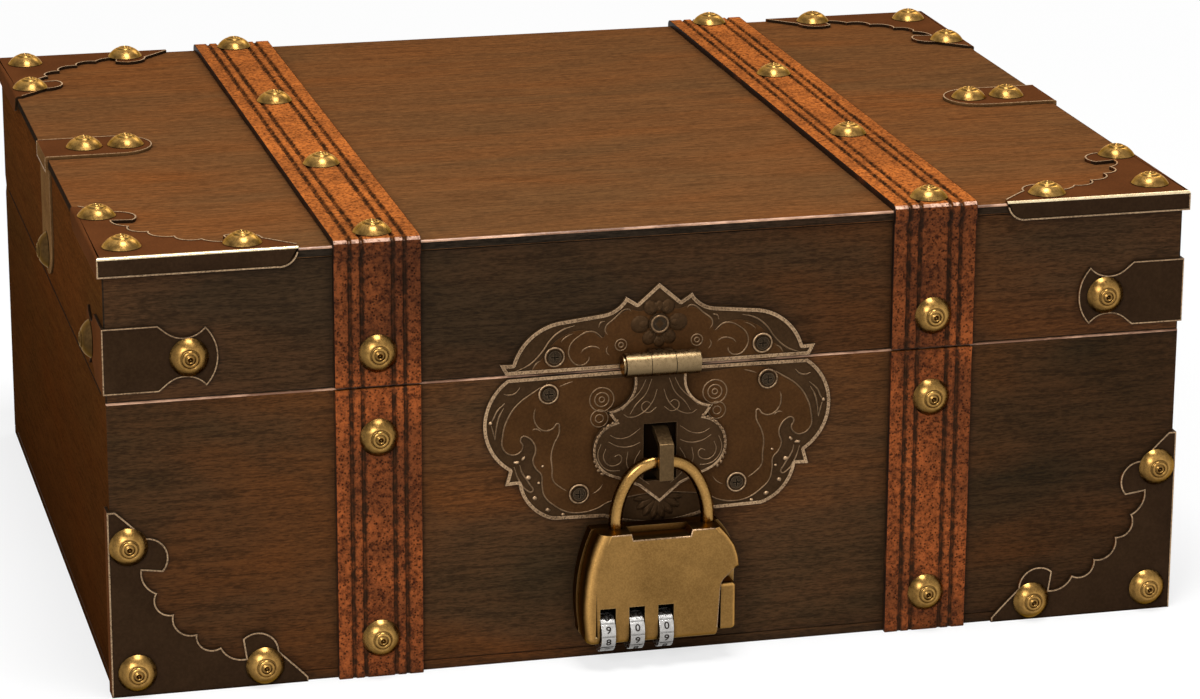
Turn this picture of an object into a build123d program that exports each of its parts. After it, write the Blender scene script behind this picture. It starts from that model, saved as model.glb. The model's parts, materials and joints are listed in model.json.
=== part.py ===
import math
import os

from build123d import *

# Chest: millimetres, the front faces -Y and Z = 0 is the underside
chest_width = 320.0
chest_depth = 250.0
base_height = 88.0          # underside to the seam
lid_height = 42.0           # seam to the top of the lid
wall = 9.0                  # thickness of the upright boards
bottom_board = 3.0
top_board = 3.0
top_overhang = 0.8          # lid board past the lid walls
overrun = 1.0               # how far every cut passes the face it leaves

# Back hinges, sunk in a groove that two chamfers make along the back of the seam
hinge_inset = 2.5           # hinge axis in from the back face
hinge_from_end = 50.0       # middle of each hinge from the end of the chest
hinge_length = 24.0
hinge_knuckle_radius = 2.0
hinge_pin_radius = 0.9
hinge_leaf = 0.8            # thickness of a leaf
hinge_leaf_reach = 6.2      # axis to the leaf's inner edge
hinge_leaf_gap = 0.1        # seam face to the near face of each leaf
hinge_screw_inset = 4.2     # axis to the screws
hinge_screw_spacing = 14.0
hinge_screw_head_radius = 1.6
hinge_screw_radius = 0.8
hinge_screw_length = 6.0
stop_angle = 50.0           # each chamfer below and above the seam, so the lid stops at twice this

# Clearances
running_gap = 0.05          # a pin in its bore, on the radius
side_gap = 0.2              # between neighbouring knuckles
seat_gap = 0.1              # a metal piece in its mortise
sweep_gap = 0.25            # around a knuckle that turns
strap_end_gap = 0.4         # strap or plate end to the seam

# Sheet metal corner pieces
plate = 0.8                 # thickness of every pressed plate
corner_leg = 56.0           # corner plate along each edge
lid_flange_drop = 5.8       # lid corner plate's edge strip, top face to lower edge
base_flange_width = 5.0     # base corner plate's strip on the side face
clip_length = 32.0          # lid corner clip along each face
clip_height = 19.3
clip_lift = 2.7             # seam to the clip's lower edge
bracket_width = 22.0        # middle bracket on each end of the lid
bracket_reach = 33.0        # its top leg from the end inwards
bracket_drop = 38.3         # its end leg from the top downwards

# Leather straps
strap_width = 25.0
strap_thickness = 2.0
strap_bend_radius = 2.0
strap_back_clear = 7.0      # strap end to the seam on the back, clear of the hinge groove
groove_width = 0.9
groove_depth = 0.5
groove_inset_share = (0.1, 0.2)         # pressed lines across half the strap, from its edge
strap_place_share = 0.651   # part of the room beside a strap that lies on its latch side

# Dome tacks
tack_radius = 5.5
tack_height = 3.4
tack_dimple_radius = 0.9
tack_dimple_depth = 0.6
tack_shank_radius = 0.8
tack_bite = 2.5             # shank in the wood
lid_strap_tack_in = 5.0     # strap's outer tacks on the lid top, from the front and back
lid_strap_tack_mid = 41.0   # strap's inner tacks, from the middle of the lid
strap_tack_over_seam = 10.0
strap_tack_under_seam = 15.0
strap_tack_over_floor = 12.0
strap_back_tack_over_seam = 15.0
clip_tack_in = 23.7         # clip tack from the corner, along each face
clip_tack_up = 9.6          # and above the clip's lower edge
bracket_tack_outer = 12.3   # bracket's outer tack from the end of the lid
bracket_tack_inner = 25.0   # and its inner tack
bracket_tack_down = 31.0    # end tack below the lid top

# Latch on the front
latch_plate_half = 47.0     # lid plate, half its width
latch_plate_rise = 25.0     # seam to its peak
base_plate_half = 52.0      # base plate, half its width
base_plate_drop = 48.0      # seam to its lowest lobe
rim_width = 1.0             # raised line round the latch plates
rim_height = 0.3
barrel_radius = 3.5
barrel_length = 22.0
barrel_rise = 2.0           # seam to the barrel's axis
latch_pin_radius = 1.2
latch_pin_head_radius = 2.9
latch_pin_head = 0.8
flap_thickness = 1.4
flap_half = 20.0            # hasp flap, half its width at the wings
flap_length = 42.6          # barrel axis to the flap's tip
flap_gap = 0.6              # raised line of the base plate to the flap
slot_width = 10.0
slot_top = 18.5             # barrel axis to the slot's upper end
slot_bottom = 36.0
screw_head_radius = 1.9
screw_head = 0.9
screw_slot_length = 2.54
screw_slot_width = 0.45
screw_radius = 0.9
screw_length = 6.0
eyelet_radius = 3.0         # raised ring round each screw
eyelet_height = 0.5

# Staple on the base plate
staple_width = 4.4
staple_strip = 2.4          # thickness of the bent strip
staple_reach = 11.0         # front face to the staple's outer face
staple_top_drop = 17.4      # seam to the top of its arm
staple_corner_drop = 20.6   # seam to the arm's outer corner
staple_bottom_drop = 31.8   # seam to its lower side
staple_arm_flat = 3.5       # level part of the arm, from the front face
staple_leg_in_wood = 5.0

# Padlock
lock_half = 23.2            # half its width
lock_height = 34.0
lock_hang = 19.2            # middle of the shackle's crown to the top of the padlock
lock_left = 1.2             # padlock's middle to the left of the chest's
lock_back = 1.3             # front face of the chest to the padlock's back
lock_split = 6.0            # and to the joint of its two shells
lock_front = 13.0           # and to its front
lock_front_fillet = 1.3
lock_back_fillet = 0.8
shell_gap = 0.2
shackle_radius = 2.0
shackle_half = 13.8         # half the distance between its legs
shackle_left = 0.2          # shackle's middle to the left of the chest's
shackle_bite = 4.0          # short leg in the padlock when shut
shackle_long_leg = 24.0     # long leg in the padlock
shackle_bore_gap = 0.12
shackle_seat_gap = 0.1      # shackle over the staple's lower bar
shackle_window_gap = 0.5    # shackle behind the staple's outer leg
shackle_notch = 1.0
dial_radius = 6.1
dial_width = 4.2
dial_pitch = 8.7
dial_count = 3
dial_first_left = 17.8      # first dial to the left of the chest's middle
dial_rise = 3.5             # underside of the padlock to the dials' axis
dial_out = 8.2              # front face of the chest to the dials' axis
dial_slot_gap = 0.25
dial_slot_rise = 11.7       # underside of the padlock to the top of the dials' slots
dial_marks = 10
dial_mark_depth = 0.25
spindle_radius = 1.5
spindle_past = 2.5          # spindle past the outer dials, in the shell
slide_width = 4.7
slide_height = 14.6
slide_rise = 1.7            # underside of the padlock to the slide
slide_right = 21.2          # slide's outer side along X
slide_front = 11.6
slide_travel = 2.0
slide_fillet = 1.4
tongue_reach = 4.0          # slide's tongue in the shell
tongue_height = 3.0
tongue_thickness = 2.0
tongue_rise = 8.0           # above the slide's lower end

# Outlines, in shares of the sizes above: (x, y) ends a line, (mid x, mid y, x, y) ends an arc
latch_plate_share = [
    (0.0, 1.0), (0.138, 0.772), (0.209, 0.86), (0.255, 0.752, 0.35, 0.672), (0.632, 0.616),
    (0.796, 0.484, 0.921, 0.14), (1.0, 0.144), (0.964, 0.016), (0.0, 0.016),
]
base_plate_share = [
    (0.0, -0.009), (0.862, -0.018), (1.0, -0.3, 0.854, -0.596), (0.877, -0.687), (0.8, -0.683),
    (0.723, -0.848, 0.604, -0.925), (0.308, -0.933), (0.16, -0.982, 0.0, -1.0),
]
flap_share = [
    (0.0, 0.0), (0.385, 0.0), (0.385, -0.113), (0.47, -0.252, 0.785, -0.329), (0.665, -0.408),
    (1.0, -0.6, 0.755, -0.789), (0.315, -0.876), (0.0, -1.0),
]
corner_share = [
    (0.0, 0.0), (0.0, 1.0), (0.027, 1.0), (0.09, 0.94, 0.179, 0.85), (0.288, 0.766, 0.262, 0.664),
    (0.155, 0.679), (0.171, 0.6, 0.229, 0.55), (0.225, 0.473, 0.312, 0.429),
]
corner_middle_share = (0.336, 0.336)    # middle scallop, on the plate's diagonal
clip_share = [
    (0.0, 0.5), (0.0, 1.0), (0.47, 1.0), (0.55, 0.89), (0.7, 0.8, 0.89, 0.95), (1.0, 0.5, 0.89, 0.05),
    (0.7, 0.2, 0.55, 0.11), (0.47, 0.0), (0.0, 0.0), (0.0, 0.5),
]
flange_share = [(0.0, 0.0), (1.0, 0.0), (0.975, -0.7, 0.89, -1.0), (0.0, -1.0), (0.0, 0.0)]
lock_share = [
    (-0.82, 1.0), (-0.41, 1.0), (-0.39, 0.945), (0.35, 0.945), (0.37, 1.0), (0.74, 1.0),
    (0.93, 0.83, 1.0, 0.63), (0.83, 0.56), (0.76, 0.51, 0.74, 0.44), (0.7, 0.0), (-0.9, 0.0),
    (-0.98, 0.03, -1.0, 0.12), (-0.99, 0.6, -0.82, 1.0),
]
rear_share = [
    (-0.86, 1.0), (0.78, 1.0), (0.96, 0.8, 1.0, 0.55), (0.98, 0.08), (0.94, 0.05, 0.9, 0.04),
    (-0.95, 0.04), (-1.0, 0.06, -1.02, 0.12), (-1.03, 0.6, -0.86, 1.0),
]
shackle_bend_share = (0.54, 0.6)        # crown's bends across the half width, side bends down the rise
shackle_arc_share = 0.95    # part of each straight side between two bends that the arcs take
base_tack_share = [(0.09, 0.81), (0.118, 0.126), (0.777, 0.108)]
lid_tack_share = [(0.096, 0.8), (0.139, 0.184), (0.738, 0.121)]
latch_screw_share = [(-0.66, 0.2), (0.0, 0.52), (0.66, 0.2)]
base_screw_share = [(-0.63, -0.125), (0.63, -0.125), (-0.455, -0.77), (0.455, -0.77)]

# Worked out from the above
total_height = base_height + lid_height
half_width = chest_width / 2
half_depth = chest_depth / 2
lid_half_width = half_width + top_overhang
lid_half_depth = half_depth + top_overhang
lid_wall_top = total_height - top_board
hinge_y = half_depth - hinge_inset
hinge_x = half_width - hinge_from_end
strap_room = lid_half_width - corner_leg - base_plate_half - strap_width
strap_x = base_plate_half + strap_place_share * strap_room + strap_width / 2
sides = {"left": -1, "right": 1}
ends = {"front": -1, "back": 1}

# One plane on each face; local Y is up on the upright ones and local Z points out of the chest
front_face = Plane(origin=(0, -half_depth, 0), x_dir=(1, 0, 0), z_dir=(0, -1, 0))
back_face = Plane(origin=(0, half_depth, 0), x_dir=(-1, 0, 0), z_dir=(0, 1, 0))
right_face = Plane(origin=(half_width, 0, 0), x_dir=(0, 1, 0), z_dir=(1, 0, 0))
left_face = Plane(origin=(-half_width, 0, 0), x_dir=(0, -1, 0), z_dir=(-1, 0, 0))
top_face = Plane(origin=(0, 0, total_height), x_dir=(1, 0, 0), z_dir=(0, 0, 1))
seam_on_front = Plane(origin=(0, -half_depth, base_height), x_dir=(1, 0, 0), z_dir=(0, -1, 0))


def trace(shares, width, height):
    # Segments (start, middle or None, end) of an outline that is written in shares
    segments = []
    here = None
    for share in shares:
        there = (share[-2] * width, share[-1] * height)
        middle = (share[0] * width, share[1] * height) if len(share) == 4 else None
        if here is not None:
            segments.append((here, middle, there))
        here = there
    return segments


def walked_back(segments, turn):
    # The same outline walked backwards, each point sent through turn
    back = []
    for start, middle, end in reversed(segments):
        back.append((turn(end), turn(middle) if middle else None, turn(start)))
    return back


def face_from(segments):
    edges = []
    for start, middle, end in segments:
        edges.append(ThreePointArc(start, middle, end) if middle else Line(start, end))
    return make_face(edges)


def face_round(points):
    # A face with straight sides through the points
    loop = points + points[:1]
    return face_from([(loop[i], None, loop[i + 1]) for i in range(len(points))])


def mirrored_face(shares, width, height):
    # A half outline from the top of the middle line to its foot, and its mirror image
    half = trace(shares, width, height)
    return face_from(half + walked_back(half, lambda point: (-point[0], point[1])))


def span(low, high):
    # A box from its lowest to its highest corner
    size = [high[i] - low[i] for i in range(3)]
    middle = [(high[i] + low[i]) / 2 for i in range(3)]
    return Pos(*middle) * Box(*size)


def peg(radius, length):
    # A cylinder that stands on Z = 0
    return Cylinder(radius, length, align=(Align.CENTER, Align.CENTER, Align.MIN))


def rod(radius, length, start):
    # A cylinder that runs along +X from start
    return Pos(*start) * Rotation(0, 90, 0) * peg(radius, length)


def write(name, shape):
    solids = shape.solids()
    whole = solids[0] if len(solids) == 1 else Compound(children=list(solids))
    whole.label = name
    export_step(whole, f"parts/{name}.step")


# Tacks: each spot is (x, y) on its face's plane, with the height of its seat over the wood
def corner_spots():
    # The three tacks of each corner plate on the lid
    spots = []
    for u, v in lid_tack_share:
        x = lid_half_width - u * corner_leg
        y = lid_half_depth - v * corner_leg
        spots += [(sx * x, sy * y) for sx in (-1, 1) for sy in (-1, 1)]
    return spots


def tack(seat):
    # A dome with a dimple on top and a shank below, its rim on Z = 0
    point = -seat - tack_bite
    dimple = (0, tack_height - tack_dimple_depth)
    brow = (tack_dimple_radius, tack_height)
    profile = face_from([
        ((0, point), None, (tack_shank_radius, point)),
        ((tack_shank_radius, point), None, (tack_shank_radius, 0)),
        ((tack_shank_radius, 0), None, (tack_radius, 0)),
        ((tack_radius, 0), dome_point(tack_radius / 2 + tack_dimple_radius), brow),
        (brow, None, dimple),
        (dimple, None, (0, point)),
    ])
    return revolve(Plane.XZ * profile, Axis.Z)


def dome_point(x):
    # A point of the tack's dome, which is the cap of a sphere
    sphere = (tack_radius**2 + tack_height**2) / (2 * tack_height)
    return (x, math.sqrt(sphere**2 - x**2) - sphere + tack_height)


def tack_spots():
    strap_y = (half_depth - lid_strap_tack_in, lid_strap_tack_mid)
    clip_x = half_width - clip_tack_in
    clip_y = half_depth - clip_tack_in
    clip_z = base_height + clip_lift + clip_tack_up
    lid_top = []
    for y in strap_y:
        lid_top += [(sx * strap_x, sy * y, strap_thickness) for sx in (-1, 1) for sy in (-1, 1)]
    lid_top += [(x, y, plate) for x, y in corner_spots()]
    for bracket_in in (bracket_tack_outer, bracket_tack_inner):
        lid_top += [(sx * (lid_half_width - bracket_in), 0, plate) for sx in (-1, 1)]
    lid_front = [(sx * strap_x, base_height + strap_tack_over_seam, strap_thickness) for sx in (-1, 1)]
    lid_front += [(sx * clip_x, clip_z, plate) for sx in (-1, 1)]
    lid_back = [(sx * strap_x, base_height + strap_back_tack_over_seam, strap_thickness) for sx in (-1, 1)]
    lid_end = [(-clip_y, clip_z, plate), (0, total_height - bracket_tack_down, plate)]
    strap_z = (base_height - strap_tack_under_seam, strap_tack_over_floor)
    base_back = [(sx * strap_x, z, strap_thickness) for sx in (-1, 1) for z in strap_z]
    base_corners = [(sx * (half_width - u * corner_leg), v * corner_leg, plate)
                    for u, v in base_tack_share for sx in (-1, 1)]
    return {
        "lid_top": (top_face, lid_top),
        "lid_front": (front_face, lid_front),
        "lid_back": (back_face, lid_back),
        "lid_right": (right_face, lid_end),
        "lid_left": (left_face, [(-x, y, seat) for x, y, seat in lid_end]),
        "base_front": (front_face, base_back + base_corners),
        "base_back": (back_face, base_back),
    }


def tacks_on(faces):
    solids = []
    shapes = {seat: tack(seat) for seat in (plate, strap_thickness)}
    for face in faces:
        plane, spots = tack_table[face]
        solids += [plane * (Pos(x, y, seat) * shapes[seat]) for x, y, seat in spots]
    return solids


def pilots_on(faces):
    # Holes for the shanks, through whatever lies on the wood and into it
    cutters = []
    for face in faces:
        plane, spots = tack_table[face]
        for x, y, seat in spots:
            depth = seat + tack_bite + seat_gap
            hole = peg(tack_shank_radius + running_gap, depth + overrun)
            cutters.append(plane * (Pos(x, y, seat - depth) * hole))
    return cutters


# Boards
def groove_wedge(up):
    # What the chamfer takes off a back board, above the seam with up = 1 and below it with up = -1
    reach = hinge_inset + overrun
    rise = reach * math.tan(math.radians(stop_angle))
    wedge = Plane.YZ * face_round([(0, 0), (reach, 0), (reach, up * rise)])
    groove = extrude(wedge, chest_width + 2 * overrun, dir=(1, 0, 0))
    return Pos(-half_width - overrun, hinge_y, base_height) * groove


def hinge_pockets(up):
    # Mortise of each leaf in the seam, and the round relief for the knuckles
    cutters = []
    deep = hinge_leaf + hinge_leaf_gap + seat_gap
    for side in sides.values():
        x = side * hinge_x
        half = hinge_length / 2 + seat_gap
        low, high = sorted((base_height - up * overrun, base_height + up * deep))
        inner_y = hinge_y - hinge_leaf_reach - seat_gap
        cutters.append(span((x - half, inner_y, low), (x + half, hinge_y, high)))
        cutters.append(rod(hinge_knuckle_radius + sweep_gap, 2 * half, (x - half, hinge_y, base_height)))
        for y, hole_x in screw_places(side):
            length = hinge_screw_length + seat_gap
            hole_z = base_height if up > 0 else base_height - length
            cutters.append(Pos(hole_x, y, hole_z) * peg(hinge_screw_radius + running_gap, length))
    return cutters


def screw_places(side):
    x = side * hinge_x
    return [(hinge_y - hinge_screw_inset, x + step * hinge_screw_spacing / 2) for step in (-1, 1)]


def boards():
    y_in = half_depth - wall
    x_in = half_width - wall
    bottom = span((-half_width, -half_depth, 0), (half_width, half_depth, bottom_board))
    write("bottom_board", bottom)
    corner = (lid_half_width, lid_half_depth, total_height)
    top = span((-lid_half_width, -lid_half_depth, lid_wall_top), corner)
    write("lid_top_board", top - pilots_on(["lid_top"]))

    levels = {"base": (bottom_board, base_height), "lid": (base_height, lid_wall_top)}
    for half, (low, high) in levels.items():
        up = 1 if half == "lid" else -1
        front = span((-half_width, -half_depth, low), (half_width, -y_in, high))
        front = front - pilots_on([f"{half}_front"]) - latch_holes(half)
        back = span((-half_width, y_in, low), (half_width, half_depth, high))
        back = back - pilots_on([f"{half}_back"]) - groove_wedge(up) - hinge_pockets(up)
        write(f"{half}_front_board", front)
        write(f"{half}_back_board", back)
        for side, s in sides.items():
            x = sorted((s * x_in, s * half_width))
            end = span((x[0], -y_in, low), (x[1], y_in, high))
            end = end - pilots_on([f"lid_{side}"]) if half == "lid" else end
            write(f"{half}_{side}_board", end)


# Straps
def band(inner, outer):
    # The face between two open paths of (y, z) points, each walked the same way
    return face_round(inner + outer[::-1])


def lid_strap_paths(thickness):
    # Up the front wall, out round the edge of the lid board, over the top and down the back
    y_wall = half_depth + thickness
    y_edge = lid_half_depth + thickness
    z_step = lid_wall_top - top_overhang
    z_top = total_height + thickness
    front_foot = base_height + strap_end_gap
    back_foot = base_height + strap_back_clear
    rise = [(y_wall, z_step), (y_edge, z_step + top_overhang), (y_edge, z_top)]
    path = [(-y_wall, front_foot)] + [(-y, z) for y, z in rise]
    return path + rise[::-1] + [(y_wall, back_foot)]


def bend_edges(strap):
    # The two outer edges where the strap turns over the front and the back of the lid
    return strap.edges().filter_by(Axis.X).group_by(Axis.Z)[-1]


def strap_grooves():
    # X ranges of the pressed lines, from the middle of the strap
    half = strap_width / 2
    middles = [s * half * (1 - share) for share in groove_inset_share for s in (-1, 1)]
    return [(x - groove_width / 2, x + groove_width / 2) for x in middles]


def straps():
    inner = lid_strap_paths(0)
    outer = lid_strap_paths(strap_thickness)
    cut_inner = lid_strap_paths(strap_thickness - groove_depth)
    cut_outer = lid_strap_paths(strap_thickness + overrun)
    for side, s in sides.items():
        x = s * strap_x
        low = x - strap_width / 2
        lid = extrude(Pos(low, 0, 0) * (Plane.YZ * band(inner, outer)), strap_width, dir=(1, 0, 0))
        lid = fillet(bend_edges(lid), strap_bend_radius)
        for a, b in strap_grooves():
            line = Pos(x + a, 0, 0) * (Plane.YZ * band(cut_inner, cut_outer))
            lid = lid - extrude(line, b - a, dir=(1, 0, 0))
        write(f"lid_strap_{side}", lid - pilots_on(["lid_top", "lid_front", "lid_back"]))
        tops = {"front": base_height - strap_end_gap, "back": base_height - strap_back_clear}
        for end, t in ends.items():
            y = sorted((t * half_depth, t * (half_depth + strap_thickness)))
            flat = span((low, y[0], 0), (low + strap_width, y[1], tops[end]))
            y_out = half_depth + strap_thickness
            y_cut = sorted((t * (y_out - groove_depth), t * (y_out + overrun)))
            for a, b in strap_grooves():
                flat = flat - span((x + a, y_cut[0], -overrun), (x + b, y_cut[1], tops[end] + overrun))
            write(f"base_{end}_strap_{side}", flat - pilots_on([f"base_{end}"]))


# Corner plates, clips and brackets
def corner_face():
    half = trace(corner_share, corner_leg, corner_leg)
    x, y = half[-1][2]
    middle = tuple(share * corner_leg for share in corner_middle_share)
    other_half = walked_back(half, lambda point: (point[1], point[0]))
    return face_from(half + [((x, y), middle, (y, x))] + other_half)


def lid_corner_plate():
    # The front left plate with the lid board's corner at the origin: +X and +Y run inwards from it
    sheet = extrude(corner_face(), plate)
    flange = face_from(trace(flange_share, corner_leg, lid_flange_drop))
    front = Plane(origin=(0, 0, plate), x_dir=(1, 0, 0), z_dir=(0, -1, 0)) * extrude(flange, plate)
    side = Plane(origin=(0, 0, plate), x_dir=(0, 1, 0), z_dir=(1, 0, 0)) * extrude(flange, -plate)
    edge = span((-plate, -plate, plate - lid_flange_drop), (0, 0, plate))
    return sheet + front + side + edge


def base_corner_plate():
    # The front left plate, from the foot of the corner at the origin: +X runs inwards, +Z up and -Y out
    sheet = extrude(Plane.XZ * corner_face(), plate)
    flange = span((-plate, -plate, 0), (0, base_flange_width, corner_leg))
    return sheet + flange


def corner_clip():
    # The front left clip, from the corner of the lid walls at the origin: Z = 0 is the clip's lower edge
    leg = face_from(trace(clip_share, clip_length, clip_height))
    front = extrude(Plane.XZ * leg, plate)
    side = Plane(origin=(0, 0, 0), x_dir=(0, 1, 0), z_dir=(1, 0, 0)) * extrude(leg, -plate)
    return front + side + span((-plate, -plate, 0), (0, 0, clip_height))


def middle_bracket():
    # The left bracket with the lid board's edge at the origin: +X runs inwards, Z = 0 is the lid top
    half = bracket_width / 2
    top = span((-plate, -half, 0), (bracket_reach - half, half, plate))
    top = top + Pos(bracket_reach - half, 0, 0) * peg(half, plate)
    z_step = -top_board - plate
    over_edge = span((-plate, -half, z_step), (0, half, plate))
    step = span((-plate, -half, z_step), (top_overhang, half, -top_board))
    leg = span((top_overhang - plate, -half, half - bracket_drop), (top_overhang, half, -top_board))
    round_end = Pos(top_overhang, 0, half - bracket_drop) * rod(half, plate, (-plate, 0, 0))
    return top + over_edge + step + leg + round_end


def to_corner(part, s, t):
    # A front left piece moved to the side s and the end t
    part = mirror(part, about=Plane.YZ) if s > 0 else part
    return mirror(part, about=Plane.XZ) if t > 0 else part


def corner_pieces():
    lid_place = Pos(-lid_half_width, -lid_half_depth, total_height)
    base_place = Pos(-half_width, -half_depth, 0)
    clip_place = Pos(-half_width, -half_depth, base_height + clip_lift)
    faces = ["lid_top", "lid_front", "lid_back"]
    for side, s in sides.items():
        for end, t in ends.items():
            lid_plate = to_corner(lid_place * lid_corner_plate(), s, t)
            write(f"lid_corner_plate_{end}_{side}", lid_plate - pilots_on(faces))
        base_plate = to_corner(base_place * base_corner_plate(), s, -1)
        write(f"base_corner_plate_front_{side}", base_plate - pilots_on(["base_front"]))
        clip = to_corner(clip_place * corner_clip(), s, -1)
        write(f"lid_corner_clip_front_{side}", clip - pilots_on(["lid_front", f"lid_{side}"]))
        bracket = to_corner(Pos(-lid_half_width, 0, total_height) * middle_bracket(), s, -1)
        write(f"lid_end_bracket_{side}", bracket - pilots_on(["lid_top", f"lid_{side}"]))


# Back hinges
def knuckle_spans(length):
    # X ranges of three equal knuckles, from the middle of the hinge
    edges = [-length / 2 + i * length / 3 for i in range(4)]
    gaps = (0, side_gap / 2, side_gap / 2, 0)
    return [(edges[i] + gaps[i], edges[i + 1] - gaps[i + 1]) for i in range(3)]


def hinge_leaf_part(up, knuckles, others):
    # A leaf about its hinge's middle, lying on the base with up = -1 and in the lid with up = 1
    z = sorted((up * hinge_leaf_gap, up * (hinge_leaf_gap + hinge_leaf)))
    leaf = span((-hinge_length / 2, -hinge_leaf_reach, z[0]), (hinge_length / 2, 0, z[1]))
    for a, b in others:
        leaf = leaf - rod(hinge_knuckle_radius + sweep_gap, b - a + 2 * side_gap, (a - side_gap, 0, 0))
    for a, b in knuckles:
        leaf = leaf + rod(hinge_knuckle_radius, b - a, (a, 0, 0))
    bore_start = -hinge_length / 2 - overrun
    leaf = leaf - rod(hinge_pin_radius + running_gap, hinge_length + 2 * overrun, (bore_start, 0, 0))
    for step in (-1, 1):
        leaf = leaf - hinge_screw_shape(up, step, running_gap)
    return leaf


def hinge_screw_shape(up, step, gap):
    # A countersunk screw whose head is flush with the leaf's face, or its hole with a gap
    face = up * hinge_leaf_gap
    head = Cone(hinge_screw_head_radius + gap, hinge_screw_radius + gap, hinge_leaf,
                align=(Align.CENTER, Align.CENTER, Align.MIN))
    screw = head + peg(hinge_screw_radius + gap, hinge_screw_length - hinge_leaf_gap)
    screw = screw if up > 0 else Rotation(180, 0, 0) * screw
    return Pos(step * hinge_screw_spacing / 2, -hinge_screw_inset, face) * screw


def back_hinges():
    outer_left, middle, outer_right = knuckle_spans(hinge_length)
    screws = {"base": [], "lid": []}
    for side, s in sides.items():
        place = Pos(s * hinge_x, hinge_y, base_height)
        write(f"hinge_base_leaf_{side}", place * hinge_leaf_part(-1, [outer_left, outer_right], [middle]))
        write(f"hinge_lid_leaf_{side}", place * hinge_leaf_part(1, [middle], [outer_left, outer_right]))
        write(f"hinge_pin_{side}", place * rod(hinge_pin_radius, hinge_length, (-hinge_length / 2, 0, 0)))
        for half, up in (("base", -1), ("lid", 1)):
            screws[half] += [place * hinge_screw_shape(up, step, 0) for step in (-1, 1)]
    for half, group in screws.items():
        write(f"hinge_{half}_screws", Compound(children=group))


# Latch: local X across, Y up from the seam, Z out of the front face
barrel_out = plate + side_gap + barrel_radius
flap_back = plate + rim_height + flap_gap


def latch_screw_spots(half):
    if half == "lid":
        return [(x * latch_plate_half, y * latch_plate_rise) for x, y in latch_screw_share]
    return [(x * base_plate_half, y * base_plate_drop) for x, y in base_screw_share]


def latch_holes(half):
    # Screw holes through the plate and into the board, and the staple's in the base
    hole = peg(screw_radius + running_gap, screw_length + plate + eyelet_height + overrun)
    depth = screw_length + seat_gap
    holes = [seam_on_front * (Pos(x, y, -depth) * hole) for x, y in latch_screw_spots(half)]
    return holes if half == "lid" else holes + [seam_on_front * staple_shape(seat_gap)]


def latch_screw(x, y):
    # A round head with a crossed slot in it
    head = Pos(0, 0, plate) * peg(screw_head_radius, screw_head)
    half = screw_slot_length / 2
    wide = screw_slot_width / 2
    deep = plate + screw_head / 2
    high = plate + screw_head + overrun
    head = head - span((-half, -wide, deep), (half, wide, high))
    head = head - span((-wide, -half, deep), (wide, half, high))
    shank = Pos(0, 0, -screw_length) * peg(screw_radius, screw_length + plate)
    return seam_on_front * (Pos(x, y, 0) * (head + shank))


def dressed_plate(face, spots):
    # A pressed plate with a raised line round it and an eyelet round each screw
    inner = offset(face, amount=-rim_width, kind=Kind.ARC)
    sheet = extrude(face, plate) + Pos(0, 0, plate) * extrude(face - inner, rim_height)
    for x, y in spots:
        ring = peg(eyelet_radius, eyelet_height) - peg(screw_head_radius + seat_gap, eyelet_height)
        sheet = sheet + Pos(x, y, plate) * ring
    return sheet



def barrel(spans, grown=0.0):
    rods = []
    for a, b in spans:
        rods.append(rod(barrel_radius + grown, b - a + 2 * grown, (a - grown, barrel_rise, barrel_out)))
    return rods


def staple_shape(grown=0.0):
    # The bent strip, from points of its side view: (up, out) along its outer side and along its inner side
    foot = -staple_leg_in_wood - grown
    out = staple_reach + grown
    inner_out = staple_reach - staple_strip - grown
    top = grown - staple_top_drop
    bottom = -staple_bottom_drop - grown
    outer = [(top, foot), (top, staple_arm_flat), (grown - staple_corner_drop, out), (bottom, out),
             (bottom, foot)]
    strip = staple_strip + 2 * grown
    inner = [(top - strip, foot), (top - strip, staple_arm_flat - staple_strip / 4),
             (-staple_corner_drop - staple_strip / 2 - grown, inner_out), (bottom + strip, inner_out),
             (bottom + strip, foot)]
    half = staple_width / 2 + grown
    return extrude(Pos(-half, 0, 0) * (Plane.YZ * band(inner, outer)), 2 * half, dir=(1, 0, 0))


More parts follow.
